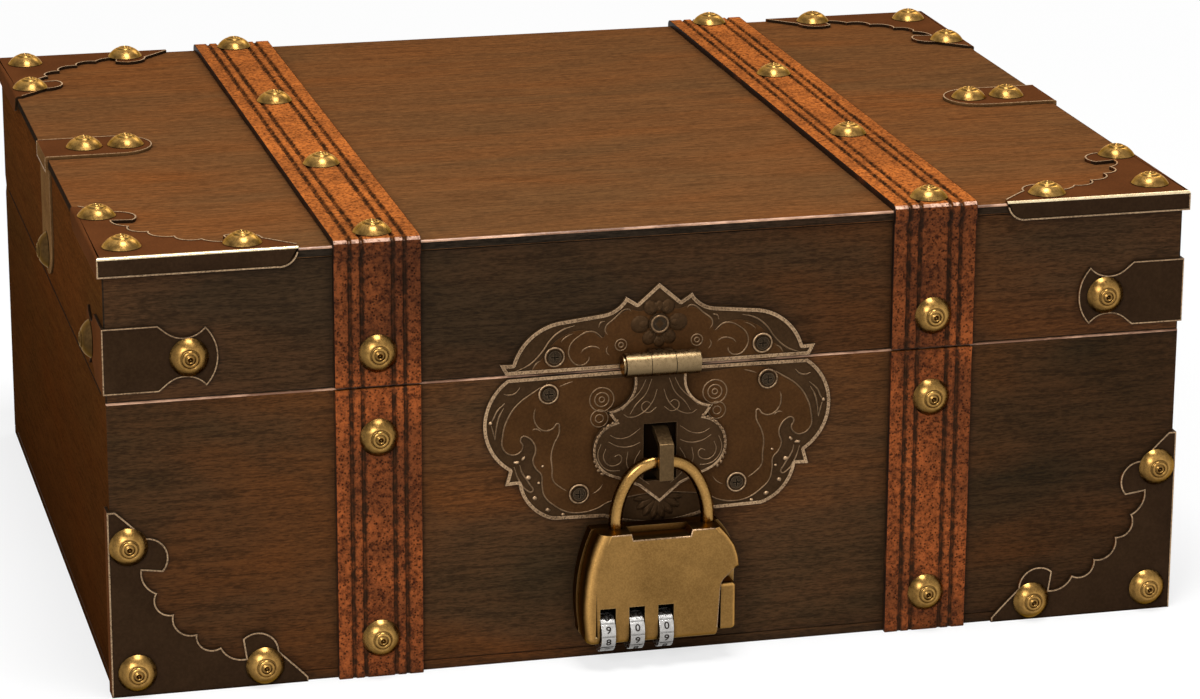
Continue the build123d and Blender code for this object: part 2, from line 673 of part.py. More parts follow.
def latch():
    outer_left, middle, outer_right = knuckle_spans(barrel_length)
    half = barrel_length / 2
    bore_start = (-half - overrun, barrel_rise, barrel_out)
    pin_bore = rod(latch_pin_radius + running_gap, barrel_length + 2 * overrun, bore_start)

    lid_plate = dressed_plate(mirrored_face(latch_plate_share, latch_plate_half, latch_plate_rise),
                              latch_screw_spots("lid"))
    lid_plate = lid_plate - barrel([outer_left, outer_right], side_gap / 2)
    web = span((middle[0], barrel_rise, 0), (middle[1], barrel_rise + barrel_radius, barrel_out))
    lid_plate = lid_plate + web + barrel([middle]) - pin_bore
    write("latch_lid_plate", seam_on_front * lid_plate - latch_holes("lid"))

    base_plate = dressed_plate(mirrored_face(base_plate_share, base_plate_half, base_plate_drop),
                               latch_screw_spots("base"))
    write("latch_base_plate", seam_on_front * base_plate - latch_holes("base"))

    hasp = extrude(mirrored_face(flap_share, flap_half, flap_length), flap_thickness)
    hasp = Pos(0, barrel_rise, flap_back) * hasp
    slot_low = (-slot_width / 2, barrel_rise - slot_bottom, 0)
    slot = span(slot_low, (slot_width / 2, barrel_rise - slot_top, staple_reach))
    hasp = hasp - slot - barrel([middle], side_gap) + barrel([outer_left, outer_right]) - pin_bore
    write("hasp_flap", seam_on_front * hasp)

    pin_start = (-half - latch_pin_head, barrel_rise, barrel_out)
    pin = rod(latch_pin_radius, barrel_length + 2 * latch_pin_head, pin_start)
    head = rod(latch_pin_head_radius, latch_pin_head - running_gap, pin_start)
    write("latch_pin", seam_on_front * (pin + head))
    write("staple", seam_on_front * staple_shape())
    for half_name in ("lid", "base"):
        screws = [latch_screw(x, y) for x, y in latch_screw_spots(half_name)]
        write(f"latch_{half_name}_screws", Compound(children=screws))


# Padlock: local X across, Y up from the underside of the chest, Z out of the front face
shackle_y = base_height - staple_bottom_drop + staple_strip + shackle_radius + shackle_seat_gap
shackle_out = staple_reach - staple_strip - shackle_window_gap - shackle_radius
lock_top = shackle_y - lock_hang
lock_lift = lock_top - lock_height
dial_y = lock_lift + dial_rise


def lock_face(shares):
    return Pos(-lock_left, lock_lift, 0) * face_from(trace(shares, lock_half, lock_height))


def shackle():
    # Two straight legs and a bow of four arcs between them, wider below than at the crown
    crown_x = shackle_half * shackle_bend_share[0]
    bend_y = shackle_y - lock_hang * shackle_bend_share[1]
    path = [(-shackle_half, lock_top - shackle_long_leg), (-shackle_half, bend_y), (-crown_x, shackle_y),
            (crown_x, shackle_y), (shackle_half, bend_y), (shackle_half, lock_top - shackle_bite)]
    slope = math.atan2(shackle_half - crown_x, shackle_y - bend_y)
    room = math.hypot(shackle_half - crown_x, shackle_y - bend_y) / 2 * shackle_arc_share
    lower = room / math.tan(slope / 2)
    upper = room / math.tan(math.pi / 4 - slope / 2)
    wire = FilletPolyline(*path, radius=[lower, upper, upper, lower])
    start = Plane(origin=path[0], x_dir=(1, 0, 0), z_dir=(0, 1, 0))
    bow = sweep(start * Circle(shackle_radius), path=wire)
    notch_y = lock_top - shackle_bite / 2
    across = shackle_radius + overrun
    notch = span((shackle_half, notch_y - shackle_notch / 2, -across),
                 (shackle_half + across, notch_y + shackle_notch / 2, across))
    return Pos(-shackle_left, 0, shackle_out) * (bow - notch)


def shackle_bores():
    bores = []
    for x, depth in ((-shackle_half, shackle_long_leg), (shackle_half, shackle_bite)):
        length = depth + shackle_radius
        bore = Rotation(-90, 0, 0) * peg(shackle_radius + shackle_bore_gap, length + overrun)
        bores.append(Pos(x - shackle_left, lock_top - length, shackle_out) * bore)
    return bores


def dial_x(i):
    return i * dial_pitch - dial_first_left


def dial_slots():
    half = dial_width / 2 + dial_slot_gap
    back = dial_out - dial_radius - dial_slot_gap
    low = lock_lift - overrun
    front = lock_front + overrun
    top = lock_lift + dial_slot_rise
    return [span((dial_x(i) - half, low, back), (dial_x(i) + half, top, front)) for i in range(dial_count)]


def spindle(grown=0.0):
    length = (dial_count - 1) * dial_pitch + dial_width + 2 * spindle_past
    start = dial_x(0) - dial_width / 2 - spindle_past
    return rod(spindle_radius + grown, length + 2 * grown, (start - grown, dial_y, dial_out))


def dial(i):
    x = dial_x(i) - dial_width / 2
    wheel = rod(dial_radius, dial_width, (x, dial_y, dial_out))
    for k in range(dial_marks):
        turn = Rotation(k * 360 / dial_marks, 0, 0)
        line = span((x - overrun, -dial_mark_depth, dial_radius - dial_mark_depth),
                    (x + dial_width + overrun, dial_mark_depth, dial_radius + overrun))
        wheel = wheel - Pos(0, dial_y, dial_out) * (turn * line)
    return wheel - spindle(running_gap)


slide_left = slide_right - slide_width
slide_foot = lock_lift + slide_rise
slide_middle = (lock_split + slide_front) / 2


def tongue(grown, travel):
    # The slide's tongue, or with a gap and the slide's travel its pocket in the shell
    low = slide_foot + tongue_rise - travel
    high = slide_foot + tongue_rise + tongue_height
    thick = tongue_thickness / 2 + grown
    return span((slide_left - tongue_reach - grown, low - grown, slide_middle - thick),
                (slide_left + slide_fillet, high + grown, slide_middle + thick))


def release_slide():
    body = span((slide_left, slide_foot, lock_split + shell_gap),
                (slide_right, slide_foot + slide_height, slide_front))
    outer = [edge for edge in body.edges() if edge.center().Z > slide_middle]
    rounded = [edge for edge in outer if edge.center().X > slide_left + slide_fillet / 2]
    return fillet(rounded, slide_fillet) + tongue(0, 0)


def padlock():
    front_side = lock_split + shell_gap / 2
    back_side = lock_split - shell_gap / 2
    front = Pos(0, 0, front_side) * extrude(lock_face(lock_share), lock_front - front_side)
    rim = front.edges().group_by(Axis.Z)[-1]
    front = fillet(rim, lock_front_fillet)
    rear = Pos(0, 0, lock_back) * extrude(lock_face(rear_share), back_side - lock_back)
    rear = fillet(rear.edges().group_by(Axis.Z)[0], lock_back_fillet)
    cutters = shackle_bores() + dial_slots() + [spindle(running_gap), tongue(seat_gap, slide_travel)]
    write("padlock_front_shell", front_face * (front - cutters))
    write("padlock_rear_shell", front_face * (rear - cutters))
    write("padlock_shackle", front_face * shackle())
    write("padlock_release_slide", front_face * release_slide())
    write("padlock_dial_spindle", front_face * spindle())
    for i, name in enumerate(("left", "middle", "right")):
        write(f"padlock_dial_{name}", front_face * dial(i))


os.makedirs("parts", exist_ok=True)
tack_table = tack_spots()
boards()
straps()
corner_pieces()
back_hinges()
latch()
padlock()
for half in ("lid", "base"):
    faces = [face for face in tack_table if face.startswith(half)]
    write(f"{half}_tacks", Compound(children=tacks_on(faces)))
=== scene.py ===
import json
import math
import bpy
from mathutils import Matrix, Vector, noise


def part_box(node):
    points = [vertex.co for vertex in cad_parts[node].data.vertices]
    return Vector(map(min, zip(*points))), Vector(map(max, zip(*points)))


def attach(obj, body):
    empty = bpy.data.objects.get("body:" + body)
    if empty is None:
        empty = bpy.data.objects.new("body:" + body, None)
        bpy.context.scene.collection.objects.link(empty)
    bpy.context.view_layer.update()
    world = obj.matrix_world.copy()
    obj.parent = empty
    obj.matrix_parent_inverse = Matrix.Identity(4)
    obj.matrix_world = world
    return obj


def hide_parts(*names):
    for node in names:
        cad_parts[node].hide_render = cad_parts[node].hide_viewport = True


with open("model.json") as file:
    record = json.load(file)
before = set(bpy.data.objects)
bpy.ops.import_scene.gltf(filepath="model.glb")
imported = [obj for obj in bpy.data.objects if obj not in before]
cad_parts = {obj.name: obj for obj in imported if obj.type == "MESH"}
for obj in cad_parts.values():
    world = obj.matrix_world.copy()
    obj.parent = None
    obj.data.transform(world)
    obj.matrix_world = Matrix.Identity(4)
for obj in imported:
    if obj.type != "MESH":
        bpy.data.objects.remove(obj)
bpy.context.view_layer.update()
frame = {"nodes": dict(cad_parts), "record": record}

mm = 0.001
cadNodes = frame["nodes"]
print("frame loaded:", len(cadNodes), "nodes")

chestSizes = {"halfWidth": 160 * mm, "height": 130 * mm, "seam": 88 * mm}
mergeSizes = {"cadGap": 0.002 * mm, "flat": math.radians(0.3), "gap": 0.01 * mm}


# Helpers for object mode and edit mode
def setMode(mode):
    bpy.ops.object.mode_set(mode=mode)


def startClean():  # object mode with nothing selected, ready for a new primitive
    if bpy.context.mode != "OBJECT":
        setMode("OBJECT")
    bpy.ops.object.select_all(action="DESELECT")


def workOn(piece):
    startClean()
    piece.select_set(True)
    bpy.context.view_layer.objects.active = piece


def editAll(piece):  # edit mode with everything selected
    workOn(piece)
    setMode("EDIT")
    bpy.ops.mesh.select_all(action="SELECT")


def pickNone(piece, kind):  # clears the selection and sets the select mode
    workOn(piece)
    setMode("EDIT")
    bpy.ops.mesh.select_mode(type=kind)
    bpy.ops.mesh.select_all(action="DESELECT")
    setMode("OBJECT")


def pickFaces(piece, wanted):  # edit mode with only the wanted faces selected
    pickNone(piece, "FACE")
    for face in piece.data.polygons:
        face.select = wanted(face.center, face.normal)
    setMode("EDIT")


def pickEdges(piece, wanted):  # edit mode with only the wanted edges selected
    pickNone(piece, "EDGE")
    spots = piece.data.vertices
    for edge in piece.data.edges:
        edge.select = wanted(spots[edge.vertices[0]].co, spots[edge.vertices[1]].co)
    setMode("EDIT")


def bevelPicked(width, steps, material=-1):
    bpy.ops.mesh.bevel(offset=width, segments=steps, affect="EDGES", material=material)


def mergeAll(piece):  # closes seams and poles and points every face outwards
    editAll(piece)
    bpy.ops.mesh.remove_doubles(threshold=mergeSizes["gap"])
    bpy.ops.mesh.normals_make_consistent(inside=False)
    setMode("OBJECT")


def shape(piece, kind, **values):  # adds a modifier and applies it
    modifier = piece.modifiers.new(kind, kind)
    for key, value in values.items():
        setattr(modifier, key, value)
    workOn(piece)
    bpy.ops.object.modifier_apply(modifier=modifier.name)


def smooth(piece, angle=32):
    workOn(piece)
    bpy.ops.object.shade_smooth_by_angle(angle=math.radians(angle))


def setMaterials(piece, *materials):
    for material in materials:
        piece.data.materials.append(material)


def paint(piece, choose):  # gives each face one of the piece's materials
    for face in piece.data.polygons:
        face.material_index = choose(face)


def putInScene(name, data):
    piece = bpy.data.objects.new(name, data)
    bpy.context.scene.collection.objects.link(piece)
    return piece


def asMesh(piece):
    workOn(piece)
    bpy.ops.object.convert(target="MESH")
    return bpy.context.object


def join(parts):
    workOn(parts[0])
    for part in parts:
        part.select_set(True)
    if len(parts) > 1:
        bpy.ops.object.join()
    return parts[0]


def settle(piece, name, body, slotName, *replaced):  # the object goes to the origin, its place to its mesh
    workOn(piece)
    bpy.ops.object.transform_apply()
    piece.name = name
    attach(piece, body)
    if replaced:
        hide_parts(*replaced)


def bodyOf(node):
    bodies = frame["record"]["behaviour"]["bodies"]
    return next(body for body, members in bodies.items() if node in members)


def settleFor(piece, node, slotName, name=None):
    settle(piece, name or node + "_metal", bodyOf(node), slotName, node)


def copyOf(node):  # a merged copy of a node's loose triangles, with flat faces made whole
    piece = putInScene(node + "_copy", cadNodes[node].data.copy())
    piece.data.materials.clear()
    workOn(piece)
    bpy.ops.mesh.customdata_custom_splitnormals_clear()
    editAll(piece)
    bpy.ops.mesh.remove_doubles(threshold=mergeSizes["cadGap"])
    bpy.ops.mesh.dissolve_limited(angle_limit=mergeSizes["flat"])
    setMode("OBJECT")
    return piece


# Helpers for node trees, where most give back an output
def addNode(tree, kind, inputs=None, **settings):
    node = tree.nodes.new(kind)
    for key, value in settings.items():
        setattr(node, key, value)
    for key, value in (inputs or {}).items():
        if isinstance(value, bpy.types.NodeSocket):
            tree.links.new(value, node.inputs[key])
        else:
            node.inputs[key].default_value = value
    return node


def mathNode(tree, operation, *values, clamp=False):
    inputs = dict(enumerate(values))
    return addNode(tree, "ShaderNodeMath", inputs, operation=operation, use_clamp=clamp).outputs[0]


def rangeNode(tree, value, low, high, newLow=0.0, newHigh=1.0):
    inputs = {"Value": value, "From Min": low, "From Max": high, "To Min": newLow, "To Max": newHigh}
    return addNode(tree, "ShaderNodeMapRange", inputs).outputs[0]


def noiseNode(tree, vector, scale, detail, roughness=0.5, distortion=0.0):
    inputs = {"Vector": vector, "Scale": scale, "Detail": detail, "Roughness": roughness,
              "Distortion": distortion}
    return addNode(tree, "ShaderNodeTexNoise", inputs).outputs["Fac"]


def mappingNode(tree, vector, **values):
    return addNode(tree, "ShaderNodeMapping", {"Vector": vector, **values}).outputs[0]


def splitNode(tree, vector):
    return addNode(tree, "ShaderNodeSeparateXYZ", {0: vector}).outputs


def rampNode(tree, factor, stops):  # stops: (place, grey or colour)
    node = addNode(tree, "ShaderNodeValToRGB", {"Fac": factor})
    points = node.color_ramp.elements
    while len(points) < len(stops):
        points.new(0.5)
    for point, (place, value) in zip(points, stops):
        point.position = place
        point.color = (*value, 1) if isinstance(value, tuple) else (value, value, value, 1)
    return node.outputs[0]


def mixColour(tree, factor, first, second, blend="MIX"):
    node = addNode(tree, "ShaderNodeMix", data_type="RGBA", blend_type=blend)
    for place, value in ((0, factor), (6, first), (7, second)):
        if isinstance(value, bpy.types.NodeSocket):
            tree.links.new(value, node.inputs[place])
        else:
            node.inputs[place].default_value = (*value, 1) if isinstance(value, tuple) else value
    return node.outputs[2]


def shadeBy(tree, colour, shade):
    return mixColour(tree, 1.0, colour, shade, "MULTIPLY")


def darker(colour, share):
    return tuple(share * value for value in colour)


def normalOf(tree):
    return tree.nodes.new("ShaderNodeTexCoord").outputs["Normal"]


# Node groups: each effect is built once and used by several materials
def openGroup(name, **inputs):  # an input of None is a vector
    tree = bpy.data.node_groups.new(name, "ShaderNodeTree")
    for label, value in inputs.items():
        kind = "NodeSocketVector" if value is None else "NodeSocketFloat"
        socket = tree.interface.new_socket(name=label, in_out="INPUT", socket_type=kind)
        if value is not None:
            socket.default_value = value
    return tree, tree.nodes.new("NodeGroupInput").outputs


def closeGroup(tree, **results):
    for label in results:
        tree.interface.new_socket(name=label, in_out="OUTPUT", socket_type="NodeSocketFloat")
    put = tree.nodes.new("NodeGroupOutput").inputs
    for label, value in results.items():
        tree.links.new(value, put[label])
    return tree


def useGroup(tree, group, **inputs):
    return addNode(tree, "ShaderNodeGroup", inputs, node_tree=group).outputs


grainNoise = {  # stretch, detail, roughness, distortion
    "fibres": ((380, 2400, 2400), 6.0, 0.65, 0.4),
    "streaks": ((60, 760, 760), 4.0, 0.55, 0.8),
    "patches": ((7, 20, 20), 3.0, 0.6, 0.6),
}


def woodGroup():  # grain along the vector's X: a colour mask, broad patches and a height
    tree, given = openGroup("woodGrain", Vector=None)
    found = {}
    for name, (stretch, *values) in grainNoise.items():
        found[name] = noiseNode(tree, mappingNode(tree, given["Vector"], Scale=stretch), 1.0, *values)
    both = mathNode(tree, "MULTIPLY_ADD", found["fibres"], 1.7, found["streaks"])
    return closeGroup(tree, Grain=rangeNode(tree, both, 1.14, 1.56),
                      Patches=rangeNode(tree, found["patches"], 0.34, 0.66), Height=found["fibres"])


def mottleGroup():  # soft blotches, fine specks and a height
    tree, given = openGroup("mottle", Vector=None, BlotchScale=60.0, SpeckScale=1300.0)
    blotch = noiseNode(tree, given["Vector"], given["BlotchScale"], detail=4.0, roughness=0.62)
    speck = noiseNode(tree, given["Vector"], given["SpeckScale"], detail=3.0, roughness=0.7)
    return closeGroup(tree, Blotches=rangeNode(tree, blotch, 0.36, 0.66),
                      Specks=rangeNode(tree, speck, 0.4, 0.66), Height=speck)


def wearGroup():  # 1 along sharp edges, where a rounded normal leans from the true one, with breaks
    tree, given = openGroup("edgeWear", Vector=None, Width=0.35 * mm, Strength=3.0, Breaks=0.3)
    rounded = addNode(tree, "ShaderNodeBevel", {"Radius": given["Width"]}, samples=6)
    true = tree.nodes.new("ShaderNodeNewGeometry")
    lean = addNode(tree, "ShaderNodeVectorMath", {0: rounded.outputs[0], 1: true.outputs["Normal"]},
                   operation="DOT_PRODUCT")
    away = mathNode(tree, "SUBTRACT", 1.0, lean.outputs["Value"])
    strong = mathNode(tree, "MULTIPLY", away, given["Strength"])
    breaks = noiseNode(tree, given["Vector"], scale=160.0, detail=3.0)
    gaps = mathNode(tree, "MULTIPLY", breaks, given["Breaks"])
    return closeGroup(tree, Mask=mathNode(tree, "SUBTRACT", strong, gaps, clamp=True))


def paintedShadeGroup():  # painted shade: 1 in corners and gaps, and partly on what faces down
    tree, given = openGroup("paintedShade", Reach=1.2 * mm, Corners=0.85, Undersides=0.3)
    near = addNode(tree, "ShaderNodeAmbientOcclusion", {"Distance": given["Reach"]}, samples=5)
    corner = rangeNode(tree, near.outputs["AO"], 0.35, 0.95, 1.0, 0.0)
    deep = mathNode(tree, "MULTIPLY", corner, given["Corners"])
    under = rangeNode(tree, splitNode(tree, normalOf(tree))["Z"], 0.35, -0.75)
    below = mathNode(tree, "MULTIPLY", under, given["Undersides"])
    return closeGroup(tree, Mask=mathNode(tree, "ADD", deep, below, clamp=True))


def outwardGroup():  # how squarely the surface faces the front or back, and any of the box's sides
    tree = openGroup("outward")[0]
    facing = addNode(tree, "ShaderNodeVectorMath", {0: normalOf(tree)}, operation="ABSOLUTE")
    parts = splitNode(tree, facing.outputs[0])
    level = mathNode(tree, "MAXIMUM", parts["X"], parts["Y"])
    return closeGroup(tree, Front=parts["Y"], Any=mathNode(tree, "MAXIMUM", level, parts["Z"]))


windowFade = (-0.2 * mm, 0.5 * mm)  # from outside the window's edge to inside it


def windowGroup():  # painted shadow: 1 within a rectangle on the front about x = 0, soft at its edges
    tree, given = openGroup("windowShadow", Vector=None, HalfWidth=0.005, Low=0.0, High=0.1)
    parts = splitNode(tree, given["Vector"])
    sideways = mathNode(tree, "ABSOLUTE", parts["X"])
    mask = 1.0
    for more, less in ((given["HalfWidth"], sideways), (parts["Z"], given["Low"]),
                       (given["High"], parts["Z"])):
        room = mathNode(tree, "SUBTRACT", more, less)
        mask = mathNode(tree, "MULTIPLY", mask, rangeNode(tree, room, *windowFade))
    return closeGroup(tree, Mask=mask)


woodGrain = woodGroup()
mottle = mottleGroup()
edgeWear = wearGroup()
paintedShade = paintedShadeGroup()
outward = outwardGroup()
windowShadow = windowGroup()


# Materials
def newMaterial(name, roughness, metallic=0.0, specular=0.5):
    material = bpy.data.materials.new(name)
    material.use_nodes = True
    tree = material.node_tree
    shader = tree.nodes["Principled BSDF"]
    for label, value in (("Roughness", roughness), ("Metallic", metallic), ("Specular IOR Level", specular)):
        shader.inputs[label].default_value = value
    where = tree.nodes.new("ShaderNodeTexCoord").outputs["Object"]
    return material, tree, shader, where


def finishSurface(tree, shader, colour, rough, height, strength, depth):
    tree.links.new(colour, shader.inputs["Base Color"])
    if rough is not None:
        tree.links.new(rough, shader.inputs["Roughness"])
    bump = addNode(tree, "ShaderNodeBump", {"Height": height, "Strength": strength, "Distance": depth})
    tree.links.new(bump.outputs[0], shader.inputs["Normal"])


def woodMaterial(name, dark, warm, grey, amber, turn=0.0, specular=0.0, across=None, paintedLightUpward=None,
                 shift=(0, 0, 0)):
    material, tree, shader, where = newMaterial(name, 0.5, specular=specular)
    turned = mappingNode(tree, where, Rotation=(0, 0, turn), Location=shift)
    grain = useGroup(tree, woodGrain, Vector=turned)
    lines = mixColour(tree, grain["Grain"], dark, warm)
    tinge = rampNode(tree, grain["Patches"], [(0.0, grey), (0.45, (1.0, 1.0, 1.0)), (1.0, amber)])
    colour = shadeBy(tree, lines, tinge)
    parts = splitNode(tree, where)
    side, top = chestSizes["halfWidth"], chestSizes["height"]
    for axis, low, high, stops in (("X", -side, side, across), ("Z", 0.0, top, paintedLightUpward)):
        if stops:  # painted light and shade: paler or darker in places across the board and up it
            colour = shadeBy(tree, colour, rampNode(tree, rangeNode(tree, parts[axis], low, high), stops))
    # painted shade where other parts stand close to the board
    shading = useGroup(tree, paintedShade, Reach=5 * mm, Corners=0.55, Undersides=0.0)
    colour = mixColour(tree, shading["Mask"], colour, (0.014, 0.009, 0.005))
    rough = rampNode(tree, grain["Grain"], [(0.0, 0.6), (1.0, 0.44)])
    finishSurface(tree, shader, colour, rough, grain["Height"], strength=0.22, depth=0.06 * mm)
    return material


def wornEdgeHighlightMaterial():  # the finish rubbed through along an edge, with a painted highlight, broken up by what is left of the stain
    material, tree, shader, where = newMaterial("wornEdgeHighlight", 0.35)
    stretched = mappingNode(tree, where, Scale=(60, 60, 400))
    left = noiseNode(tree, stretched, scale=1.0, detail=4.0, roughness=0.7)
    amount = rampNode(tree, left, [(0.38, 0.0), (0.58, 1.0)])
    colour = mixColour(tree, amount, (0.6, 0.34, 0.21), (0.15, 0.065, 0.03))
    tree.links.new(colour, shader.inputs["Base Color"])
    return material


def metalMaterial(name, base, bright, edge, roughness=0.35, metallic=1.0, edgeWidth=0.35, edgeStrength=3.0,
                  blotchScale=60.0, speckScale=1300.0, specular=0.5, reach=1.2, corners=0.85, undersides=0.3,
                  sheenAndShade=None, dome=False, bump=0.15, tint=(1.0, 0.72, 0.45), behind=None):
    material, tree, shader, where = newMaterial(name, roughness, metallic, specular)
    shader.inputs["Specular Tint"].default_value = (*tint, 1)
    spots = useGroup(tree, mottle, Vector=where, BlotchScale=blotchScale, SpeckScale=speckScale)
    amount = mathNode(tree, "ADD", spots["Blotches"], spots["Specks"])
    colour = mixColour(tree, mathNode(tree, "MULTIPLY", amount, 0.5), base, bright)
    if sheenAndShade:  # painted shade on what turns away from the face it lies on, a painted highlight just beside it
        facing = useGroup(tree, outward)["Any" if dome else "Front"]
        colour = shadeBy(tree, colour, rampNode(tree, facing, sheenAndShade))
    wear = useGroup(tree, edgeWear, Vector=where, Width=edgeWidth * mm, Strength=edgeStrength)
    colour = mixColour(tree, wear["Mask"], colour, edge)
    # painted shade in corners and gaps, and on what faces down
    shading = useGroup(tree, paintedShade, Reach=reach * mm, Corners=corners, Undersides=undersides)
    colour = mixColour(tree, shading["Mask"], colour, darker(base, 0.16))
    if behind:  # painted shadow in a rectangle that a cover's window leaves open
        hidden = useGroup(tree, windowShadow, Vector=where, **behind)
        colour = mixColour(tree, hidden["Mask"], colour, darker(base, 0.1))
    rough = rampNode(tree, spots["Specks"], [(0.0, roughness - 0.06), (1.0, roughness + 0.1)])
    finishSurface(tree, shader, colour, rough, spots["Height"], strength=bump, depth=0.05 * mm)
    return material


woodTop = woodMaterial("woodTop", (0.082, 0.033, 0.0115), (0.165, 0.066, 0.021),
                       (0.86, 0.96, 1.05), (1.16, 1.0, 0.85))
# painted light: this wood darker to the right and near the foot
woodFront = woodMaterial("woodFront", (0.034, 0.0158, 0.0064), (0.08, 0.035, 0.0128),
                         (0.54, 0.7, 0.82), (1.46, 1.14, 0.82), specular=0.03, shift=(0.17, 0, 0.04),
                         across=[(0.0, 0.72), (0.3, 0.96), (0.62, 1.08), (0.82, 0.68), (1.0, 0.58)],
                         paintedLightUpward=[(0.0, 0.72), (0.07, 0.95), (0.3, 1.0), (1.0, 1.0)])
# painted shade: a darker copy of the front's wood for the lid's front and back, lighter towards its ends
woodLidShaded = woodMaterial("woodLidShaded", (0.026, 0.0122, 0.0052), (0.062, 0.0278, 0.0108),
                       (0.64, 0.78, 0.92), (1.42, 1.1, 0.8), specular=0.03,
                       across=[(0.0, 1.08), (0.3, 0.92), (0.62, 0.9), (1.0, 1.15)])
# painted light: the ends lighter towards the top
woodEnd = woodMaterial("woodEnd", (0.042, 0.0142, 0.0037), (0.072, 0.0245, 0.006),
                       (0.84, 0.95, 1.0), (1.12, 1.0, 0.92), turn=math.pi / 2,
                       paintedLightUpward=[(0.0, 0.7), (0.45, 0.85), (0.68, 1.1), (1.0, 1.45)])
woodRim = woodMaterial("woodRim", (0.012, 0.0085, 0.0055), (0.03, 0.019, 0.0115),
                       (0.8, 0.9, 1.0), (1.2, 1.0, 0.9))
wornEdgeHighlight = wornEdgeHighlightMaterial()

# painted light and shade: one plate metal in three brightnesses, darkest on faces to the front and back,
# lighter on faces up and to the ends
darkPlate = metalMaterial("darkPlate", (0.0205, 0.0104, 0.0052), (0.038, 0.0198, 0.0096), (0.1, 0.06, 0.03),
                          0.45, 0.12, specular=0.02)
topPlate = metalMaterial("topPlate", (0.068, 0.0225, 0.0076), (0.112, 0.037, 0.0115), (0.18, 0.08, 0.03),
                         0.5, 0.04, specular=0.0)
sidePlate = metalMaterial("sidePlate", (0.11, 0.052, 0.018), (0.22, 0.115, 0.042), (0.6, 0.38, 0.2),
                          0.45, 0.0, specular=0.0)
edgeMetal = metalMaterial("edgeMetal", (0.13, 0.076, 0.04), (0.56, 0.365, 0.205), (0.85, 0.6, 0.37),
                          0.3, 0.6, blotchScale=75.0, undersides=0.7, specular=0.1)
# painted highlight: a bright copy of the plate metal for the rounded fold
foldHighlight = metalMaterial("foldHighlight", (0.62, 0.47, 0.27), (0.95, 0.78, 0.5), (1.0, 0.9, 0.65),
                          0.25, 0.8, blotchScale=110.0, undersides=0.2, corners=0.4)
scrollMetal = metalMaterial("scrollMetal", (0.095, 0.056, 0.028), (0.29, 0.18, 0.098), (0.42, 0.28, 0.16),
                            0.36, 0.6, blotchScale=110.0, specular=0.1, undersides=0.6, corners=0.4)
latchMetal = metalMaterial("latchMetal", (0.031, 0.016, 0.007), (0.06, 0.0312, 0.0136), (0.2, 0.125, 0.065),
                           0.42, 0.25, specular=0.04, corners=0.6)
copperPanel = metalMaterial("copperPanel", (0.042, 0.0182, 0.0062), (0.08, 0.034, 0.0112),
                            (0.12, 0.065, 0.03), 0.42, 0.1, specular=0.03, corners=0.6,
                            behind={"HalfWidth": 5.6 * mm, "Low": 53.2 * mm, "High": 72.4 * mm})
tackFinish = {"edgeWidth": 0.22, "edgeStrength": 1.2, "blotchScale": 90.0, "speckScale": 700.0, "reach": 0.9,
              "corners": 0.95, "undersides": 0.6, "bump": 0.04}
tackMetal = metalMaterial("tackMetal", (0.22, 0.115, 0.03), (0.46, 0.262, 0.074), (0.8, 0.55, 0.24),
                          0.27, 1.0, dome=True, **tackFinish,
                          sheenAndShade=[(0.58, 0.3), (0.72, 0.6), (0.86, 1.0), (0.96, 1.35), (1.0, 1.2)])
# painted shade: a darker copy of the tack metal for the tacks on the chest's ends
endTackShaded = metalMaterial("endTackShaded", (0.05, 0.026, 0.009), (0.115, 0.064, 0.021), (0.3, 0.18, 0.07),
                             0.4, 0.9, specular=0.1, **tackFinish)
barrelMetal = metalMaterial("barrelMetal", (0.2, 0.132, 0.062), (0.31, 0.212, 0.108), (0.75, 0.57, 0.33),
                            0.3, 1.0, 0.15, 1.0, blotchScale=50.0, speckScale=900.0, undersides=0.85,
                            bump=0.04)
lockMetal = metalMaterial("lockMetal", (0.205, 0.108, 0.03), (0.4, 0.22, 0.066), (0.8, 0.56, 0.27),
                          0.34, 1.0, 0.4, 1.6, speckScale=2200.0, reach=1.6, undersides=0.8, bump=0.1,
                          sheenAndShade=[(0.0, 0.16), (0.3, 0.26), (0.6, 0.7), (0.82, 2.0), (0.94, 1.45),
                                   (1.0, 1.0)])
stapleMetal = metalMaterial("stapleMetal", (0.085, 0.05, 0.021), (0.17, 0.104, 0.047), (0.66, 0.44, 0.22),
                            0.36, 0.9, blotchScale=50.0, undersides=0.6, bump=0.06)
screwMetal = metalMaterial("screwMetal", (0.022, 0.014, 0.008), (0.06, 0.04, 0.023), (0.22, 0.15, 0.09),
                           0.4, 0.6, specular=0.1, undersides=0.5)
inkMaterial = metalMaterial("ink", (0.012, 0.01, 0.009), (0.03, 0.026, 0.022), (0.02, 0.02, 0.02),
                            0.6, 0.0, specular=0.1)
shackleMetal = metalMaterial("shackleMetal", (0.18, 0.096, 0.027), (0.31, 0.175, 0.054), (0.72, 0.5, 0.24),
                             0.2, 1.0, 0.2, 1.0, undersides=0.6, bump=0.03,
                             sheenAndShade=[(0.0, 0.3), (0.45, 0.6), (0.8, 1.0), (0.95, 1.7), (1.0, 2.0)])
dialMetal = metalMaterial("dialMetal", (0.4, 0.38, 0.36), (0.72, 0.7, 0.67), (0.9, 0.88, 0.85),
                          0.26, undersides=0.75, bump=0.05, tint=(1.0, 0.98, 0.95))
print("materials made")


# Boards: each is a block with its outer edges rounded
boardSizes = {"edge": 0.45 * mm, "worn": 0.6 * mm, "steps": 3, "near": 1 * mm}


